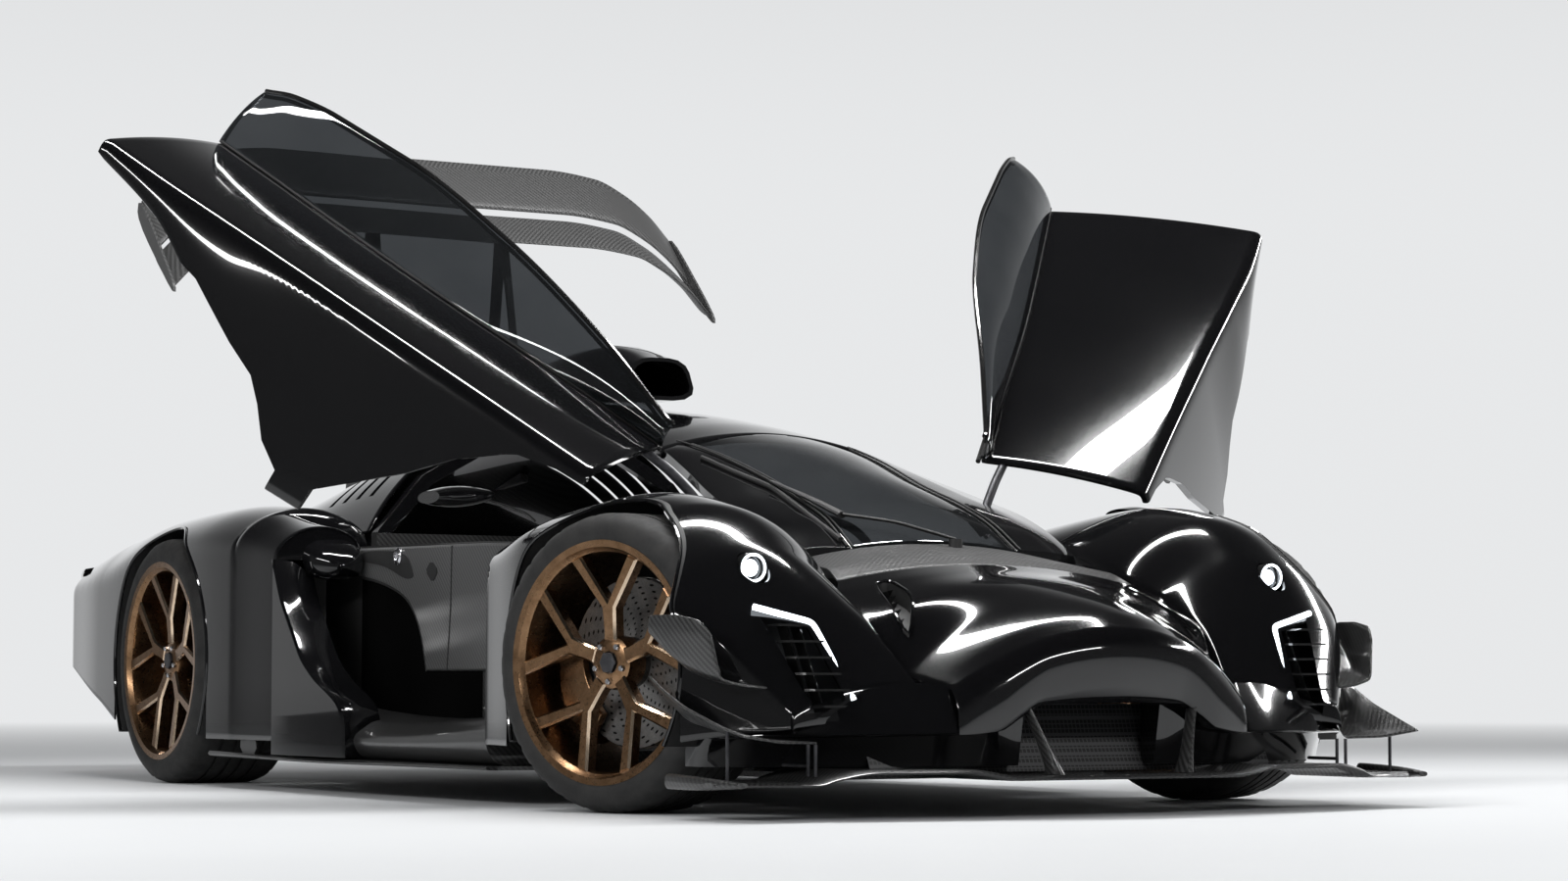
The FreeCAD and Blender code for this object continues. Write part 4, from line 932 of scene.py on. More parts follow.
INTAKE_EDGE = [
    # x and z of the side intake's curved edge
    (-1876, 640), (-1846, 590), (-1817, 528), (-1731, 433), (-1668, 360), (-1572, 304), (-1485, 272),
    (-1400, 235), (-1380, 180), (-1380, 100),
]
SILL_REAR, SILL_LENGTH = -1879, 1309
SKIRT_REAR, SKIRT_LENGTH = -2286, 1762
SKIRT_FIN = [(-2140, 96), (-2010, 96), (-2040, 190), (-2130, 200)]
BLADE = [
    # y, z of the underside, x of the front edge
    (0, 82, 830), (300, 82, 824), (430, 98, 806), (640, 98, 762), (730, 84, 742), (770, 72, 728),
    (985, 72, 640),
]
WINGLETS = (
    # the upper one from the body to the top of its turned-up edge, then the lower one, by lines that run back
    [[(556, 800, 286), (500, 862, 296), (440, 905, 322), (385, 950, 368), (346, 968, 408)],
     [(552, 862, 290), (510, 900, 300), (450, 935, 320), (395, 960, 362), (340, 974, 404)],
     [(545, 922, 306), (505, 938, 314), (462, 952, 330), (395, 972, 368), (338, 985, 412)],
     [(545, 922, 322), (535, 936, 380), (505, 952, 412), (430, 969, 430), (342, 986, 432)],
     [(545, 922, 326), (533, 936, 407), (505, 951, 437), (430, 968, 449), (345, 985, 449)]],
    [[(664, 745, 166), (590, 795, 170), (500, 860, 182), (420, 930, 216), (350, 972, 290)],
     [(682, 845, 168), (610, 880, 176), (520, 920, 204), (430, 955, 250), (348, 978, 298)],
     [(690, 940, 182), (622, 956, 200), (480, 976, 246), (400, 985, 284), (346, 986, 312)]],
)
WINGLET_POSTS = [
    [(660, 742, 96), (660, 742, 166)], [(628, 742, 96), (628, 742, 166)], [(600, 930, 84), (600, 930, 196)],
    [(628, 742, 118), (520, 742, 118)],
]
CORNER_IN, CORNER_OUT = 190, 876
DUCT_FLOOR = 113
# Inside the bonnet's seam the corners lie this far behind its lower edge.
BONNET_SEAM, BELOW_BONNET = 385, 14
PLATE_REAR, PLATE_LENGTH = 430, 270
BEAM_LOW = [
    # x and z of the lower edge of the tub's woven side
    (-2120, 617), (-1960, 603), (-1790, 585), (-1696, 569), (-1600, 545), (-1546, 522), (-1494, 478),
    (-1462, 430), (-1442, 380), (-1428, 330),
]
BEAM_REST = [(-1094, 330), (-640, 330), (-640, 640), (-700, 650), (-1100, 665), (-2120, 679)]
BEAM_BACK, BEAM_EDGE, BEAM_FACE = 700.5, 709, 713
BEAM_SEAM = [(-1266, 664), (-1272, 500), (-1292, 334)]
LATCH = (-1606, 714, 645)
LATCH_SECTION = [(0, 0.4), (0, 24), (5, 24), (9, 19), (9, 12), (4, 10), (4, 0.4)]
LATCH_POCKET = [(-1880, 640), (-1845, 668), (-1560, 658), (-1500, 585), (-1560, 580), (-1700, 622)]
LATCH_MARK = [(-1430, 600), (-1395, 628), (-1350, 600), (-1385, 566)]


def sill(side, word):
    """The side panel, with the side intake's body behind its curved edge."""
    piece = Piece("sill_" + word, side)
    rows = []
    for x in np.linspace(SILL_REAR, SILL_REAR + SILL_LENGTH, 60):
        top = 235 - 30 * math.sin(math.pi * (x - SILL_REAR) / SILL_LENGTH)
        line = [(701, top), (760, top), (880, top - 12), (940, top - 45), (950, 150), (930, 110), (905, 96),
                (701, 96)]
        rows.append(at_x(x, eased(evenly(line, 48), 3)))
    piece.loops(rows)
    rows = []
    for x, z in smooth(INTAKE_EDGE, 30, 2):
        line = [(x - 30, 850), (x - 8, 905), (x, 945), (x - 4, 966), (x - 14, 973), (SILL_REAR, 973),
                (SILL_REAR, 850)]
        rows.append([(px, y, z) for px, y in line])
    piece.loops(rows, 1)
    piece.make(["carbon_gloss", "black_lacquer"], replaces=("side_panel_" + word,), bevel=1.5)


def skirt(side, word):
    """The blade along the ground, with an upright fin at its rear."""
    piece = Piece("skirt_" + word, side)
    rows = []
    for x in np.linspace(SKIRT_REAR, SKIRT_REAR + SKIRT_LENGTH, 90):
        share = (x - SKIRT_REAR) / SKIRT_LENGTH
        out = 1000 - 30 * share ** 6
        lift = 10 * math.cos(math.pi * 2 * share) * (1 - share)
        line = [(730, 85), (out - 40, 85), (out - 6, 86 + lift * 0.4), (out, 92 + lift * 0.5),
                (out - 8, 96 + lift), (out - 40, 96), (730, 96)]
        rows.append(at_x(x, rounded(line, 1, 0.2)))
    piece.loops(rows)
    piece.prism(at_y(955, rounded(SKIRT_FIN, 1, 0.2)), (0, 5, 0))
    piece.make("carbon_gloss", bevel=1.0)


def splitter_blade():
    rows = []
    ys = np.linspace(-985, 985, 131)
    for y, (z, front) in zip(ys, between(BLADE, np.abs(ys))):
        back = 300 if abs(y) < 500 else 430
        line = [(back, z + 1), (front - 60, z + 1), (front - 12, z + 2), (front - 1, z + 7),
                (front - 12, z + 13), (front - 60, z + 12), (back, z + 13)]
        rows.append(at_y(y, line))
    Piece("splitter_blade").loops(rows).make("carbon_gloss", replaces=("splitter",), angle=50)


def winglets(side, word):
    piece = Piece("winglets_" + word, side)
    for lines in WINGLETS:
        even = [smooth(line, 30, 1) for line in lines]
        rows = [smooth(row, 14, 2) for row in zip(*even)]
        piece.shell(rows, BODY_SHEET, (400, 600, 250))
    for ends in WINGLET_POSTS:
        piece.tube(ends, 4, 1, sides=12)
    piece.make(["carbon_gloss", "dark_metal"], angle=60)


def front_corners():
    """The body's lower front edge with the ducts behind it, and the two struts of the middle intake."""
    piece = Piece("front_corners")
    rows = []
    ys = np.linspace(CORNER_IN, CORNER_OUT, 60)
    for y, (x, z, z_top, x_top) in zip(ys, between(LIP, ys)):
        back = min(x - 160, 452 + 160 * (CORNER_OUT - y) / (CORNER_OUT - CORNER_IN))
        behind = BELOW_BONNET * (1 - min(1.0, max(0.0, (y - BONNET_SEAM) / 20)))
        x, x_top = x - behind, x_top - behind
        section = [(x_top - 30, z_top), (x_top, z_top), ((x + x_top) / 2 + 5, (z + z_top) / 2),
                   (x - 3, z + 10), (x, z + 3), (x - 4, z), (x - 70, z - 4), (x - 96, DUCT_FLOOR),
                   (back, DUCT_FLOOR), (back, z_top)]
        rows.append(at_y(y, section))
    piece.loops(rows)
    strut = []
    outline = rounded([(0, 0.6), (-1, 1), (-1, -1), (0, -0.6)], 2, 0.25)
    for share in np.linspace(0, 1, 9):
        flare = (1 - share) ** 3
        x, y, z = 790 - 45 * share + 6 * flare, 178 + 54 * share, 96 + 152 * share
        strut.append([(x + px * (34 + 18 * flare), y + py * (8 + 14 * flare), z) for px, py in outline])
    piece.loops(strut, 1)
    piece.both()
    piece.make(["black_lacquer", "carbon_gloss"], replaces=("bumper",), angle=50)


def intake_mesh():
    rows = [[(x, y, z) for y in np.linspace(-560, 560, 20)] for x, z in ((600, 100), (560, 180), (540, 250))]
    Piece("intake_mesh").shell(rows, 4.0, (400, 0, 150)).make("mesh")


def footplate(side, word):
    """The flat outer end of the splitter, thick at the wheel and thinned to the front."""
    rows = []
    for x in np.linspace(PLATE_REAR, PLATE_REAR + PLATE_LENGTH, 28):
        share = (x - PLATE_REAR) / PLATE_LENGTH
        half = 17 - 11 * share ** 2
        out = 992 - 30 * share ** 3
        line = rounded([(out - 26, -half), (out, -half), (out, half), (out - 26, half)], 2, 0.25)
        rows.append([(x, y, 84 - 4 * share + z) for y, z in line])
    Piece("footplate_" + word, side).loops(rows).make("carbon_gloss", angle=50)


def side_beam(side, word):
    """The tub's woven side above the intake, with the latch in its recess and a seam."""
    piece = Piece("side_beam_" + word, side)
    low = smooth(BEAM_LOW, 40, 3)
    outline = np.concatenate([low, BEAM_REST])
    edge, face = shrunk(outline, 1.5), shrunk(outline, 6.0)
    piece.loops([at_y(BEAM_BACK, outline), at_y(BEAM_EDGE, edge), at_y(BEAM_FACE, face)])
    piece.prism(at_y(BEAM_FACE + 0.2, rounded(LATCH_POCKET, 3, 0.2)), (0, 1.4, 0), 1)
    piece.join(Piece("bolt").turned(LATCH_SECTION, 2, 40), 2, LATCH)
    piece.prism(at_y(BEAM_FACE + 0.2, rounded(LATCH_MARK, 1, 0.2)), (0, 2, 0), 1)
    piece.tube(at_y(BEAM_FACE, BEAM_SEAM), 2.5, 1)
    # A near-black sheet of painted shade fills the area below the beam's lower edge, where the dark side
    # intake shows
    recess = [(SILL_REAR, 100), (-1100, 100), (-1100, 330)] + [(x, z) for x, z in low[::-1] if x >= SILL_REAR]
    piece.prism(at_y(BEAM_BACK, recess + [(SILL_REAR, 617)]), (0, 1.6, 0), 3)
    piece.tube(at_y(708, low), 5, 1)
    piece.make(["carbon_weave", "moulding", "steel", "painted_shade_void"], angle=30)


each_side(sill, skirt)
splitter_blade()
each_side(winglets)
front_corners()
intake_mesh()
each_side(footplate)
each_side(side_beam)


# Wing, engine cover, roof and tail

WING_DROP = [
    # y, how far the wing hangs down there
    (0, 0), (465, 0), (651, 18), (763, 64), (856, 128), (930, 203),
]
WING_ELEMENTS = (
    # main plane and flap: how far back from the leading edge, and up from it
    [(0, 0), (80, 30), (172, 100), (178, 116), (80, 62), (14, 18)],
    [(166, 124), (232, 190), (300, 286), (308, 302), (222, 214), (160, 142)],
)
WING_EDGE = (-2770, 1690)
WING_TIP = [(-2764, 1462), (-2764, 1500), (-3070, 1802), (-3088, 1730)]
PYLON = [(-2730, 930), (-3070, 900), (-2920, 1760), (-2928, 1774), (-2864, 1728), (-2840, 1570)]
PYLON_WINDOW = [(-2760, 1050), (-3010, 1040), (-2902, 1630), (-2866, 1630)]
COVER_SLOTS = (-2330, -2430, -2530, -2630)
COVER = [
    # x, half width, z_edge, z_middle
    (-2160, 560, 740, 1090), (-2500, 560, 740, 1050), (-3000, 560, 740, 930), (-3500, 560, 720, 790),
    (-3649, 560, 712, 740),
]
SCOOP = [
    # x, half width at the foot and at the top, z of the foot and of the top
    (-1420, 120, 84, 1092, 1212), (-1700, 124, 80, 1092, 1268), (-2140, 130, 60, 1092, 1230),
    (-2158, 130, 58, 1092, 1226),
]
ROOF = [
    # x, half width, z_edge, z_middle
    (-789, 337, 904, 957),
    (-1000, 287, 961, 1002),
    (-1300, 228, 1021, 1050),
    (-1650, 194, 1059, 1084),
    (-2140, 194, 1065, 1090),
]
ROOF_SHEET = 26.0
HOOP = [(560, 732), (420, 900), (150, 1056), (0, 1056), (0, 1016), (130, 1016), (380, 880), (510, 732)]
TAIL_SLOTS = (420, 500, 580)
TAIL = [
    # x, half width, z of the lower and of the upper edge
    (-3649, 898, 381, 679), (-3690, 890, 386, 678), (-3725, 876, 394, 675), (-3739, 860, 401, 671),
]


def wing():
    piece = Piece("wing_planes")
    ys = np.linspace(-929, 929, 121)
    for outline in WING_ELEMENTS:
        section = rounded(outline, 2, 0.22)
        rows = []
        for y, (drop,) in zip(ys, between(WING_DROP, np.abs(ys))):
            rows.append([(WING_EDGE[0] - back, y, WING_EDGE[1] + up - drop) for back, up in section])
        piece.loops(rows)
    for y in (-938.3, 930.3):
        piece.prism(at_y(y, rounded(WING_TIP, 2, 0.2)), (0, 8, 0))
    piece.make("carbon_grey", replaces=("wing",), angle=45)

    pylons = Piece("wing_pylons").prism(at_y(215, PYLON), (0, 26, 0)).both()
    window = Piece("strut_window").prism(at_y(150, rounded(PYLON_WINDOW, 2, 0.15)), (0, 150, 0)).both()
    pylons.make("carbon_grey", replaces=("wing_struts",), cuts=[window], bevel=5)


def engine_lid():
    cuts = []
    for x in COVER_SLOTS:
        slot = [(x + 2, 194, 700), (x + 34, 194, 700), (x + 34, 486, 700), (x + 2, 486, 700)]
        cuts += [Piece("slot", side).prism(slot, (0, 0, 500)) for side, _ in SIDES]
    lid = Piece("engine_lid").shell(arched(COVER, np.linspace(-3649, -2160, 80)), 8.0, (-2800, 0, 300))
    lid.make("black_lacquer", replaces=("engine_cover",), cuts=cuts)


def scoop_piece(name, inset, xs):
    rows = []
    for x, (foot, top, low, tall) in zip(xs, between(SCOOP, xs)):
        foot, top, low, tall = foot - inset, top - inset, low + inset, tall - inset
        rows.append(at_x(x, rounded([(-foot, low), (foot, low), (top, tall), (-top, tall)], 2, 0.2)))
    return Piece(name).loops(rows)


def roof():
    """The roof's shell, the pillars with their seals, the rear hoop and the pins of the door hinges."""
    scoop = scoop_piece("roof_intake", 0, np.linspace(-2158, -1420, 30))
    mouth = scoop_piece("mouth", 12, np.linspace(-2100, -1380, 24))
    scoop.make("black_lacquer", replaces=("roof_scoop",), cuts=[mouth])
    shell = Piece("roof_shell").shell(arched(ROOF, np.linspace(-2127, -803, 60)), ROOF_SHEET, (-1500, 0, 300))
    pillar_xs = np.linspace(-840, 0, 56)
    canopy = between(CANOPY, pillar_xs)
    pillar = []
    for x, (y_edge, z_edge, y_out, z_out, _) in zip(pillar_xs, canopy):
        crest = (y_edge + y_out) / 2, (z_edge + z_out) / 2 + 5
        pillar.append(at_x(x, [(y_edge + 4, z_edge - 28), (y_out, z_out - 28), (y_out, z_out - 4),
                               (y_out - 5, z_out), crest, (y_edge + 4, z_edge + 2)]))
    posts = Piece("pillars").loops(pillar)
    for inward, up in ((-2, 4), (14, 5)):
        posts.tube([(x, row[0] + inward, row[1] + up) for x, row in zip(pillar_xs, canopy)], 3, 2)
    posts.prism(at_x(-2102, HOOP), (-36, 0, 0))
    axis = np.array(DOOR_AXIS)
    posts.tube([DOOR_HINGE - axis * 40, DOOR_HINGE + axis * 72], 9, 1, sides=24)
    posts.both()
    shell.make("black_lacquer", replaces=("roof_frame",))
    posts.make(["black_lacquer", "steel", "seal"], bevel=2)


def tail_panel():
    rows = []
    for x, half, low, tall in TAIL:
        rows.append(at_x(x, rounded([(-half, low), (half, low), (half, tall), (-half, tall)], 2, 0.06)))
    cuts = []
    for z in TAIL_SLOTS:
        slot = rounded([(330, z), (790, z), (790, z + 46), (330, z + 46)], 2, 0.15)
        cuts += [Piece("slot", side).prism(at_x(-3720, slot), (-60, 0, 0)) for side, _ in SIDES]
    Piece("tail_panel").loops(rows).make("black_lacquer", replaces=("rear_fascia",), cuts=cuts, bevel=3)


wing()
engine_lid()
roof()
tail_panel()


# Lamps and mirrors

LAMP_RINGS = (
    # section of (ahead, radius) and material
    ([(0, 0.5), (0, 33.5), (52, 33.5), (52, 29), (40, 27), (38, 0.5)], 1),
    ([(39, 0.2), (39, 20), (45, 14), (48, 0.2)], 0),
    ([(50, 30), (54, 33), (54, 27)], 0),
)
LIGHT_BAR = [(470, 790, 470), (486, 720, 452), (500, 655, 436), (556, 632, 346), (610, 613, 262)]
MIRROR_STALK = [(-480, 858, 694), (-490, 880, 716), (-520, 950, 740), (-548, 1000, 752)]
MIRROR_GLASS = [(-641, 990, 744), (-641, 1080, 741), (-641, 1080, 768), (-641, 990, 771)]

lamps = Piece("lamp_units")
for section, kind in LAMP_RINGS:
    lamps.join(lamp_part(section), kind)
lamps.tube(smooth(LIGHT_BAR, 40, 2), 7, 0, sides=12)
lamps.both()
lamps.make(["lamp_light", "gloss_trim"], replaces=("headlamps",))

mirror = Piece("mirror_pods")
pod = []
for share in np.linspace(0, 1, 9):
    bulge = math.sin(math.pi * (0.12 + 0.76 * share)) ** 0.5
    y = 966 + 132 * share
    x0, x1 = -492 - 30 * share, -626 - 22 * share
    zc, h, w = 758 - 5 * share, 26 * bulge, (x0 - x1) / 2
    pod.append([((x0 + x1) / 2 + w * math.cos(t), y, zc + h * math.sin(t)) for t in full_turn(24)])
mirror.loops(pod)
mirror.tube(smooth(MIRROR_STALK, 20), 7, 1, sides=12, flat=0.6)
mirror.prism(MIRROR_GLASS, (3, 0, 0), 2)
mirror.both()
mirror.make(["black_lacquer", "carbon_gloss", "steel"], replaces=("mirrors",))


# Wheels: i and o are the y of the tyre's inner and outer side from what carries the wheel

WHEEL_FINISHES = ["bronze", "bronze_cut", "dark_metal", "steel"]
SPOKES = 5
SPOKE_RISE = 22
HUB_BORE = 30.5
NUT_CIRCLE = 44
GROOVES = (0.30, 0.44, 0.56, 0.70)
GROOVE_DEPTH = 6
NOTCH_DEPTH = 4.5
WHEELS = {
    # x of the axle, y of what carries the wheel, radius and width of the tyre, radius of the rim, how far
    # out the wheel's middle is from there, angle steered at rest, angle of the caliper round the disc
    "front": (0.0, 780.5, 347.0, 265.0, 279.0, 62.0, 18.0, 205),
    "rear": (REAR_AXLE, 742.5, 363.0, 325.0, 290.0, 85.0, 0.0, 160),
}


def polar(r, degrees):
    t = math.radians(degrees + 90)
    return r * math.cos(t), r * math.sin(t)


def tyre_section(i, o, r, bead):
    """Sidewalls with a rim guard, round shoulders and four grooves."""
    crown = [(i + 14, bead), (i + 4, bead + 6), (i, bead + 26), (i + 1, bead + 40), (i + 8, r - 22),
             (i + 20, r - 8), (i + 40, r - 1)]
    line = list(crown)
    for share in GROOVES:
        y = i + (o - i) * share
        line += [(y - 5, r), (y - 4, r - GROOVE_DEPTH), (y + 4, r - GROOVE_DEPTH), (y + 5, r)]
    return line + [(o + i - y, z) for y, z in crown[::-1]]


def tyre(name, side, i, o, radius, rim):
    """A tyre with its grooves and with notches cut across its shoulders."""
    section = tyre_section(i, o, radius, rim - 8)
    piece = Piece(name, side).turned(section, 0, 180)
    moved = []
    for index, (x, y, z) in enumerate(piece.points):
        shoulder = min(y - i, o - y) < 62 and math.hypot(x, z) > radius - 12
        notched = shoulder and (index // len(section) + int(abs(y) / 14)) % 5 == 0
        scale = 1 - NOTCH_DEPTH / radius if notched else 1.0
        moved.append((x * scale, y, z * scale))
    piece.points = moved
    return piece


def wheel(name, side, i, o, rim):
    """Barrel, hub with a six-sided lock, and forked spokes with a nut between each two."""
    piece = Piece(name, side)
    piece.turned([(o - 4, rim - 12), (o - 2, rim + 4), (o - 6, rim + 5), (o - 13, rim - 9),
                  (o - 40, rim - 12), (i + 14, rim - 9), (i + 8, rim - 9), (i + 8, rim - 16),
                  (i + 30, rim - 22), (o - 40, rim - 24), (o - 18, rim - 22), (o - 14, rim - 18)], 0, 144)
    piece.turned([(o - 96, HUB_BORE), (o - 96, 61), (o - 60, 64), (o - 44, 60), (o - 37, 48), (o - 36, 26),
                  (o - 54, 26), (o - 54, HUB_BORE)], 0, 72)
    piece.turned([(o - 54, 0.5), (o - 40, 24), (o - 30, 26), (o - 27, 22), (o - 27, 0.5)], 2, 6)
    reach = rim - 20
    shape = [(52, -22), (76, -14), (128, -9.5), (reach, -24.5), (reach, -17), (142, 0), (reach, 17),
             (reach, 24.5), (128, 9.5), (76, 14), (52, 22)]

    def raised(line, below):
        outward = [min(1.0, max(0.0, (math.hypot(x, z) - 60) / (reach - 60))) for x, z in line]
        return [(x, o - 36 + SPOKE_RISE * share ** 1.3 - below, z) for (x, z), share in zip(line, outward)]

    for k in range(SPOKES):
        turn = 360 // SPOKES * k
        flat = np.array([polar(r, a + turn) for r, a in shape])
        back, edge, face = raised(shrunk(flat, 3.0), 34), raised(flat, 6), raised(shrunk(flat, 5.0), 0)
        piece.loops([back, edge], 0, caps=False)
        piece.loops([edge, face], 1, caps=False)
        piece.add(face, [range(len(shape))], 0)
        piece.add(back, [range(len(shape))[::-1]], 0)
        nut = Piece("nut").turned([(o - 44, 0.3), (o - 44, 8), (o - 31, 8), (o - 29, 6), (o - 29, 0.3)], 3, 6)
        x, z = polar(NUT_CIRCLE, 36 + turn)
        piece.join(nut, 3, (x, 0, z))
    return piece


def brake_disc(name, side, start, o):
    """Two faces with a gap between them, and the bell that carries them."""
    section = [(start, HUB_BORE), (start, 198), (start + 2, 200), (start + 14, 200), (start + 15, 196),
               (start + 19, 196), (start + 20, 200), (start + 32, 200), (start + 34, 198), (start + 34, 100),
               (start + 42, 60), (o - 97, 60), (o - 97, HUB_BORE)]
    return Piece(name, side).turned(section, 0, 120)


def caliper(name, side, start, middle):
    """A block over the disc's rim with a slot for the disc."""
    rows = []
    for k in range(17):
        t = math.radians(middle - 32 + 4 * k)
        pinch = 10 * abs(k - 8) / 8
        foot, top = 132 + pinch, 226 - pinch
        line = [(start - 26, foot), (start - 26, top), (start + 4, top + 12), (start + 34, top + 12),
                (start + 62, top), (start + 62, foot), (start + 41, foot), (start + 41, 206),
                (start - 7, 206), (start - 7, foot)]
        rows.append([(r * math.cos(t), y, r * math.sin(t)) for y, r in line])
    return Piece(name, side).loops(rows)


for axle, (x, pin, radius, width, rim, offset, steer, caliper_angle) in WHEELS.items():
    for side, word in SIDES:
        place = Matrix.Translation(((FRONT_AXLE + x) / 1000, side * pin / 1000, radius / 1000))
        place = place @ Matrix.Rotation(math.radians(steer), 4, "Z")
        i, o = offset - width / 2, offset + width / 2
        disc_y = i + 110
        tag = "%s_%s" % (axle, word)
        body = "wheel_" + tag
        carrier = "steer_" + word if axle == "front" else "chassis"
        tyre("tread_" + tag, side, i, o, radius, rim).make(
            "rubber", body, ("tyre_" + tag,), place, local=True, angle=50)
        wheel("wheel_" + tag, side, i, o, rim).make(
            WHEEL_FINISHES, body, ("rim_" + tag,), place, local=True, angle=30)
        brake_disc("disc_" + tag, side, disc_y, o).make(
            "disc_face", body, ("brake_disc_" + tag,), place, local=True)
        caliper("caliper_" + tag, side, disc_y, caliper_angle).make(
            "bronze", carrier, place=place, local=True, bevel=4)


# Cabin

SEATS = (-900, -1700)
STEERING_X, STEERING_Z, STEERING_RADIUS, STEERING_FLAT = -520, 560, 160, -128
SEAT_SHELL = [
    # x ahead of the seat's back, z, half width, height of the side wings
    (478, 136, 205, 40), (300, 132, 214, 60), (110, 136, 218, 70), (40, 200, 216, 80), (0, 330, 212, 80),
    (-70, 500, 205, 60), (-150, 680, 160, 20), (-190, 752, 110, 6),
]
SEAT_PADS = [
    # name, the ends of its middle line as x ahead of the seat's back and z, half width, thickness
    ("base", (110, 150), (460, 158), 170, 60),
    ("back", (40, 240), (-120, 620), 160, 55),
    ("head", (-128, 650), (-165, 740), 95, 45),
]


def seat_shell(name, x):
    rows = []
    for ahead, z, half, rise in SEAT_SHELL:
        px = x + ahead
        rows.append([(px + rise * (abs(t) ** 3) * 0.6, half * t, z + rise * abs(t) ** 3)
                     for t in np.linspace(-1, 1, 21)])
    grid = np.stack([smooth(line, 40, 2) for line in zip(*rows)], axis=1)
    return Piece(name).shell(grid, 8.0, (x - 200, 0, 100))


def seat_pad(name, x, kind, low, high, half, fill):
    """A crowned pad along its middle line, with soft grooves across its face."""
    foot = np.array((x + low[0], 0, low[1]))
    run = np.array((high[0] - low[0], 0, high[1] - low[1]), float)
    length = np.linalg.norm(run)
    run /= length
    up = np.array((-run[2], 0, run[0]))
    if up[2] < 0 or (kind != "base" and up[0] < 0):
        up = -up
    loops = []
    for k in range(25):
        s = k / 24
        crown = (1 - (2 * s - 1) ** 6) ** 0.5
        groove = 0.10 * math.cos(s * math.pi * 8)
        loop = []
        for w, h in (squared(t, 0.55, 0.8) for t in full_turn(40)):
            thick = fill * (0.34 + 0.16 * abs(w) ** 4 - (groove * 0.3 if h > 0 else 0)) * max(crown, 0.05)
            across = np.array((0, half * w * (0.9 + 0.1 * crown), 0))
            loop.append(foot + run * (s * length) + up * (fill * 0.35 + thick * h) + across)
        loops.append(loop)
    return Piece(name).loops(loops)


def dashboard():
    """The dash with its screen, and the steering wheel, flat below, on its column."""
    piece = Piece("dash_panel")
    rows = []
    for y in np.linspace(-359, 359, 31):
        hump = 18 * math.exp(-(y / 130) ** 2)
        line = [(-241, 302), (-241, 555), (-288, 570 + hump * 0.3), (-400, 592 + hump), (-440, 600 + hump),
                (-458, 568), (-400, 430), (-342, 302)]
        rows.append(at_y(y, rounded(line, 2, 0.2)))
    piece.loops(rows)
    piece.tube([(STEERING_X, 0, STEERING_Z), (-400, 0, STEERING_Z)], 18, 2, sides=24)
    grip = [(STEERING_RADIUS * math.cos(t), STEERING_Z + max(STEERING_RADIUS * math.sin(t), STEERING_FLAT))
            for t in full_turn(64)]
    piece.tube(at_x(STEERING_X, grip), 12, 1, sides=14, closed=True)
    for a, b in (((-150, 566), (-30, 560)), ((150, 566), (30, 560)), ((0, 545), (0, 436))):
        piece.tube(at_x(STEERING_X - 2, (a, b)), 12, 2, sides=10, flat=0.5)
    piece.tube([(STEERING_X - 10, 0, STEERING_Z), (STEERING_X + 5, 0, STEERING_Z)], 42, 2, sides=32)
    piece.prism([(-461, -90, 565), (-461, 90, 565), (-452, 90, 612), (-452, -90, 612)], (4, 0, 2), 2)
    piece.make(["moulding", "suede", "carbon_satin"], replaces=("dashboard",))


for n, x in enumerate(SEATS):
    seat_shell("seat_shell_%d" % n, x).make("carbon_satin", replaces=("seats",) if n == 0 else ())
for n, x in enumerate(SEATS):
    for kind, *sizes in SEAT_PADS:
        item = seat_pad("seat_pad_%s_%d" % (kind, n), x, kind, *sizes).make("suede", angle=80)
dashboard()

NODE_FINISHES = {
    "tub": "carbon_gloss", "underbody": "carbon_satin", "suspension": "dark_metal", "knuckles_rear": "cast",
    "knuckle_front_left": "cast", "knuckle_front_right": "cast", "engine_block": "cast",
    "exhausts": "heat_tint", "tail_lamp": "tail_light", "lamp_louvres": "gloss_trim",
}
for name, finish in NODE_FINISHES.items():
    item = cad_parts[name]
    item.data.materials.clear()
    item.data.materials.append(MATERIALS[finish])


# Studio

BACKDROP = (0.80, 0.81, 0.82, 1)
FLOOR_HALF = 90
FADE = (5.0, 16.0)
CEILING = (0.12, 0.6)
LIGHTS = [
    # name, place, target, length, width, watts
    ("overhead", (0.5, 0.0, 4.2), (0.3, 0.0, 0.5), 5.0, 0.3, 260.0),
    ("side_near", (2.5, -5.5, 2.6), (0.2, 0.0, 0.5), 5.0, 0.2, 130.0),
    ("side_far", (1.0, 5.5, 3.0), (0.2, 0.0, 0.6), 5.0, 0.2, 130.0),
    ("front", (6.5, 0.5, 2.2), (1.5, 0.0, 0.4), 3.0, 0.12, 70.0),
]


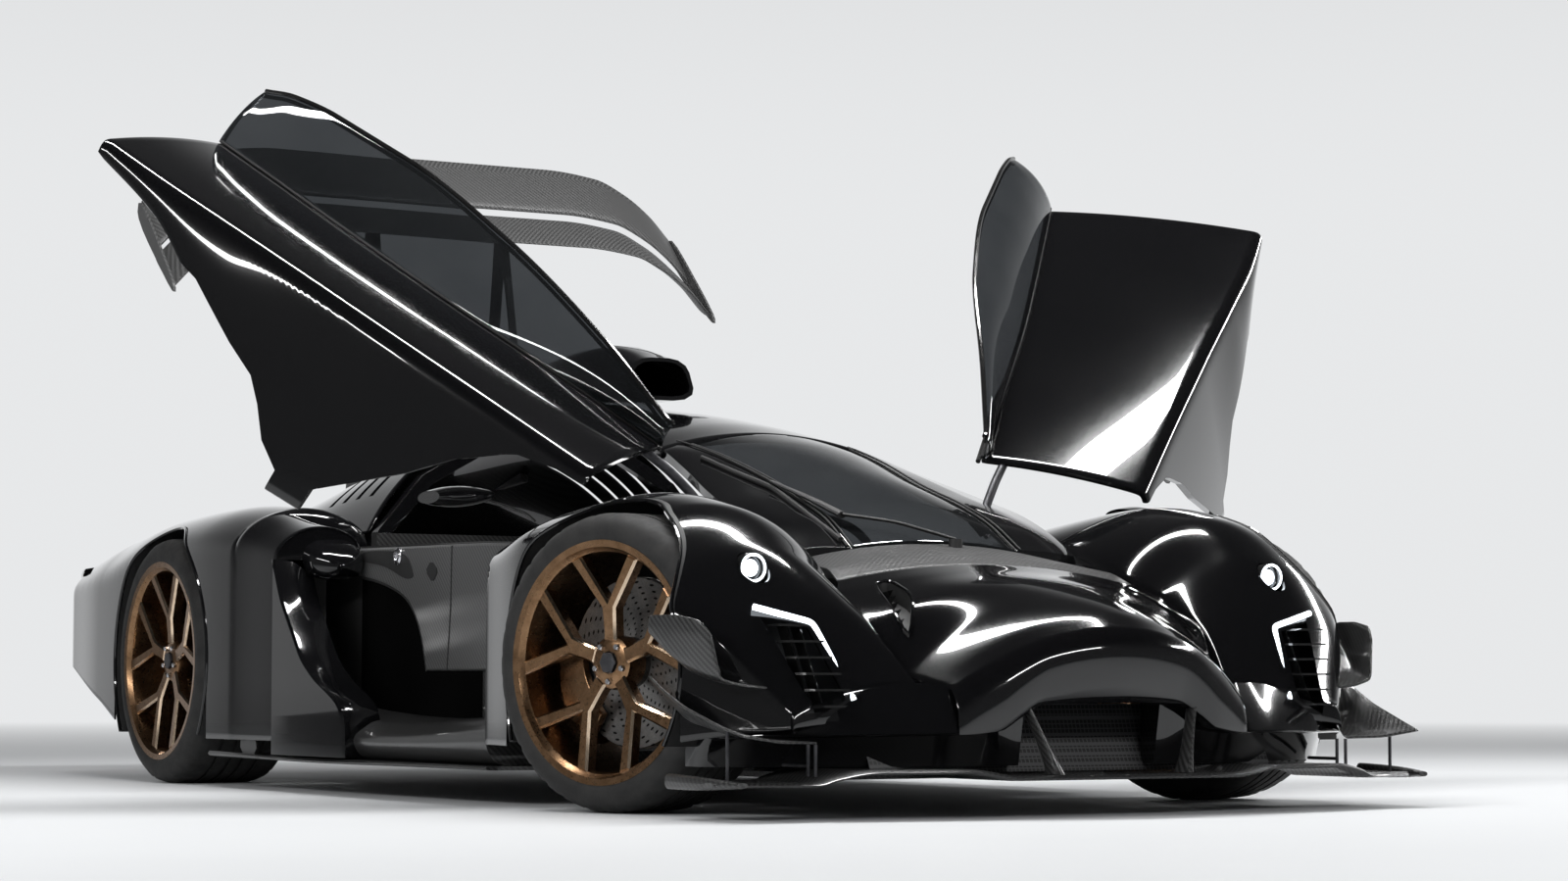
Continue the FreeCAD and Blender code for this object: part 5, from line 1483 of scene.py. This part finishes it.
def studio_floor():
    """A plain floor that turns into the backdrop's colour far out."""
    corners = [(a * FLOOR_HALF, b * FLOOR_HALF, 0) for a, b in ((-1, -1), (1, -1), (1, 1), (-1, 1))]
    mesh = bpy.data.meshes.new("studio_floor")
    mesh.from_pydata(corners, [], [(0, 1, 2, 3)])
    ground = bpy.data.objects.new("studio_floor", mesh)
    bpy.context.scene.collection.objects.link(ground)
    matt = Finish("studio_paint", "dark_trim", Roughness=0.55)
    matt.link(matt.ramp(matt.noise(0.6, 6.0), (0.60, 0.61, 0.62), (0.64, 0.65, 0.66)), "Base Color")
    matt.bump(matt.noise(300.0), 0.03)
    distance = matt.node("ShaderNodeVectorMath", {0: matt.place}, operation="LENGTH").outputs["Value"]
    fade = matt.span(distance, 0.0, 1.0, *FADE)
    way = matt.node("ShaderNodeVectorMath", {0: matt.place}, operation="NORMALIZE").outputs[0]
    shown = matt.backdrop(way, matt.node("ShaderNodeLightPath").outputs["Is Glossy Ray"])
    far = matt.node("ShaderNodeEmission", {"Color": BACKDROP, "Strength": shown})
    mix = matt.node("ShaderNodeMixShader", {0: fade, 1: matt.shader.outputs[0], 2: far.outputs[0]})
    matt.tree.links.new(mix.outputs[0], matt.tree.nodes["Material Output"].inputs["Surface"])
    mesh.materials.append(matt.material)


def sky():
    """A pale world for the camera and in reflections, dimmer above and as a light."""
    world = bpy.data.worlds.new("studio")
    bpy.context.scene.world = world
    world.use_nodes = True
    nodes = Nodes(world.node_tree)
    paths = nodes.node("ShaderNodeLightPath").outputs
    way = nodes.node("ShaderNodeTexCoord").outputs["Generated"]
    through = nodes.math("MAXIMUM", paths["Is Glossy Ray"], paths["Is Transmission Ray"])
    seen = nodes.math("MAXIMUM", through, paths["Is Camera Ray"])
    height = nodes.node("ShaderNodeSeparateXYZ", {0: way}).outputs[2]
    ceiling = nodes.span(height, 1.0, 0.06, *CEILING, interpolation_type="SMOOTHSTEP")
    pale = nodes.math("MULTIPLY", ceiling, nodes.backdrop(way, paths["Is Glossy Ray"]))
    back = world.node_tree.nodes["Background"]
    back.inputs["Color"].default_value = BACKDROP
    world.node_tree.links.new(nodes.span(seen, 0.5, pale), back.inputs["Strength"])


def lights():
    for name, place, target, length, width, watts in LIGHTS:
        data = bpy.data.lights.new(name, "AREA")
        data.shape = "RECTANGLE"
        data.size = length
        data.size_y = width
        data.energy = watts
        item = bpy.data.objects.new(name, data)
        item.location = place
        item.rotation_euler = (Vector(target) - Vector(place)).to_track_quat("-Z", "Y").to_euler()
        bpy.context.scene.collection.objects.link(item)


studio_floor()
sky()
lights()

# Camera

CAMERA = (8.784, -4.741, 0.311)
YAW, PITCH = math.radians(149.43), math.radians(3.85)
LENS, SENSOR, CLIP_END = 81.07, 36.0, 500.0

ahead = Vector((math.cos(PITCH) * math.cos(YAW), math.cos(PITCH) * math.sin(YAW), math.sin(PITCH)))
right = ahead.cross(Vector((0, 0, 1))).normalized()
camera = bpy.data.objects.new("camera", bpy.data.cameras.new("camera"))
camera.data.lens = LENS
camera.data.sensor_width = SENSOR
camera.data.clip_end = CLIP_END
turn = Matrix((right, right.cross(ahead), -ahead)).transposed()
camera.matrix_world = Matrix.Translation(CAMERA) @ turn.to_4x4()
bpy.context.scene.collection.objects.link(camera)
bpy.context.scene.camera = camera
bpy.context.scene.view_settings.view_transform = "Standard"
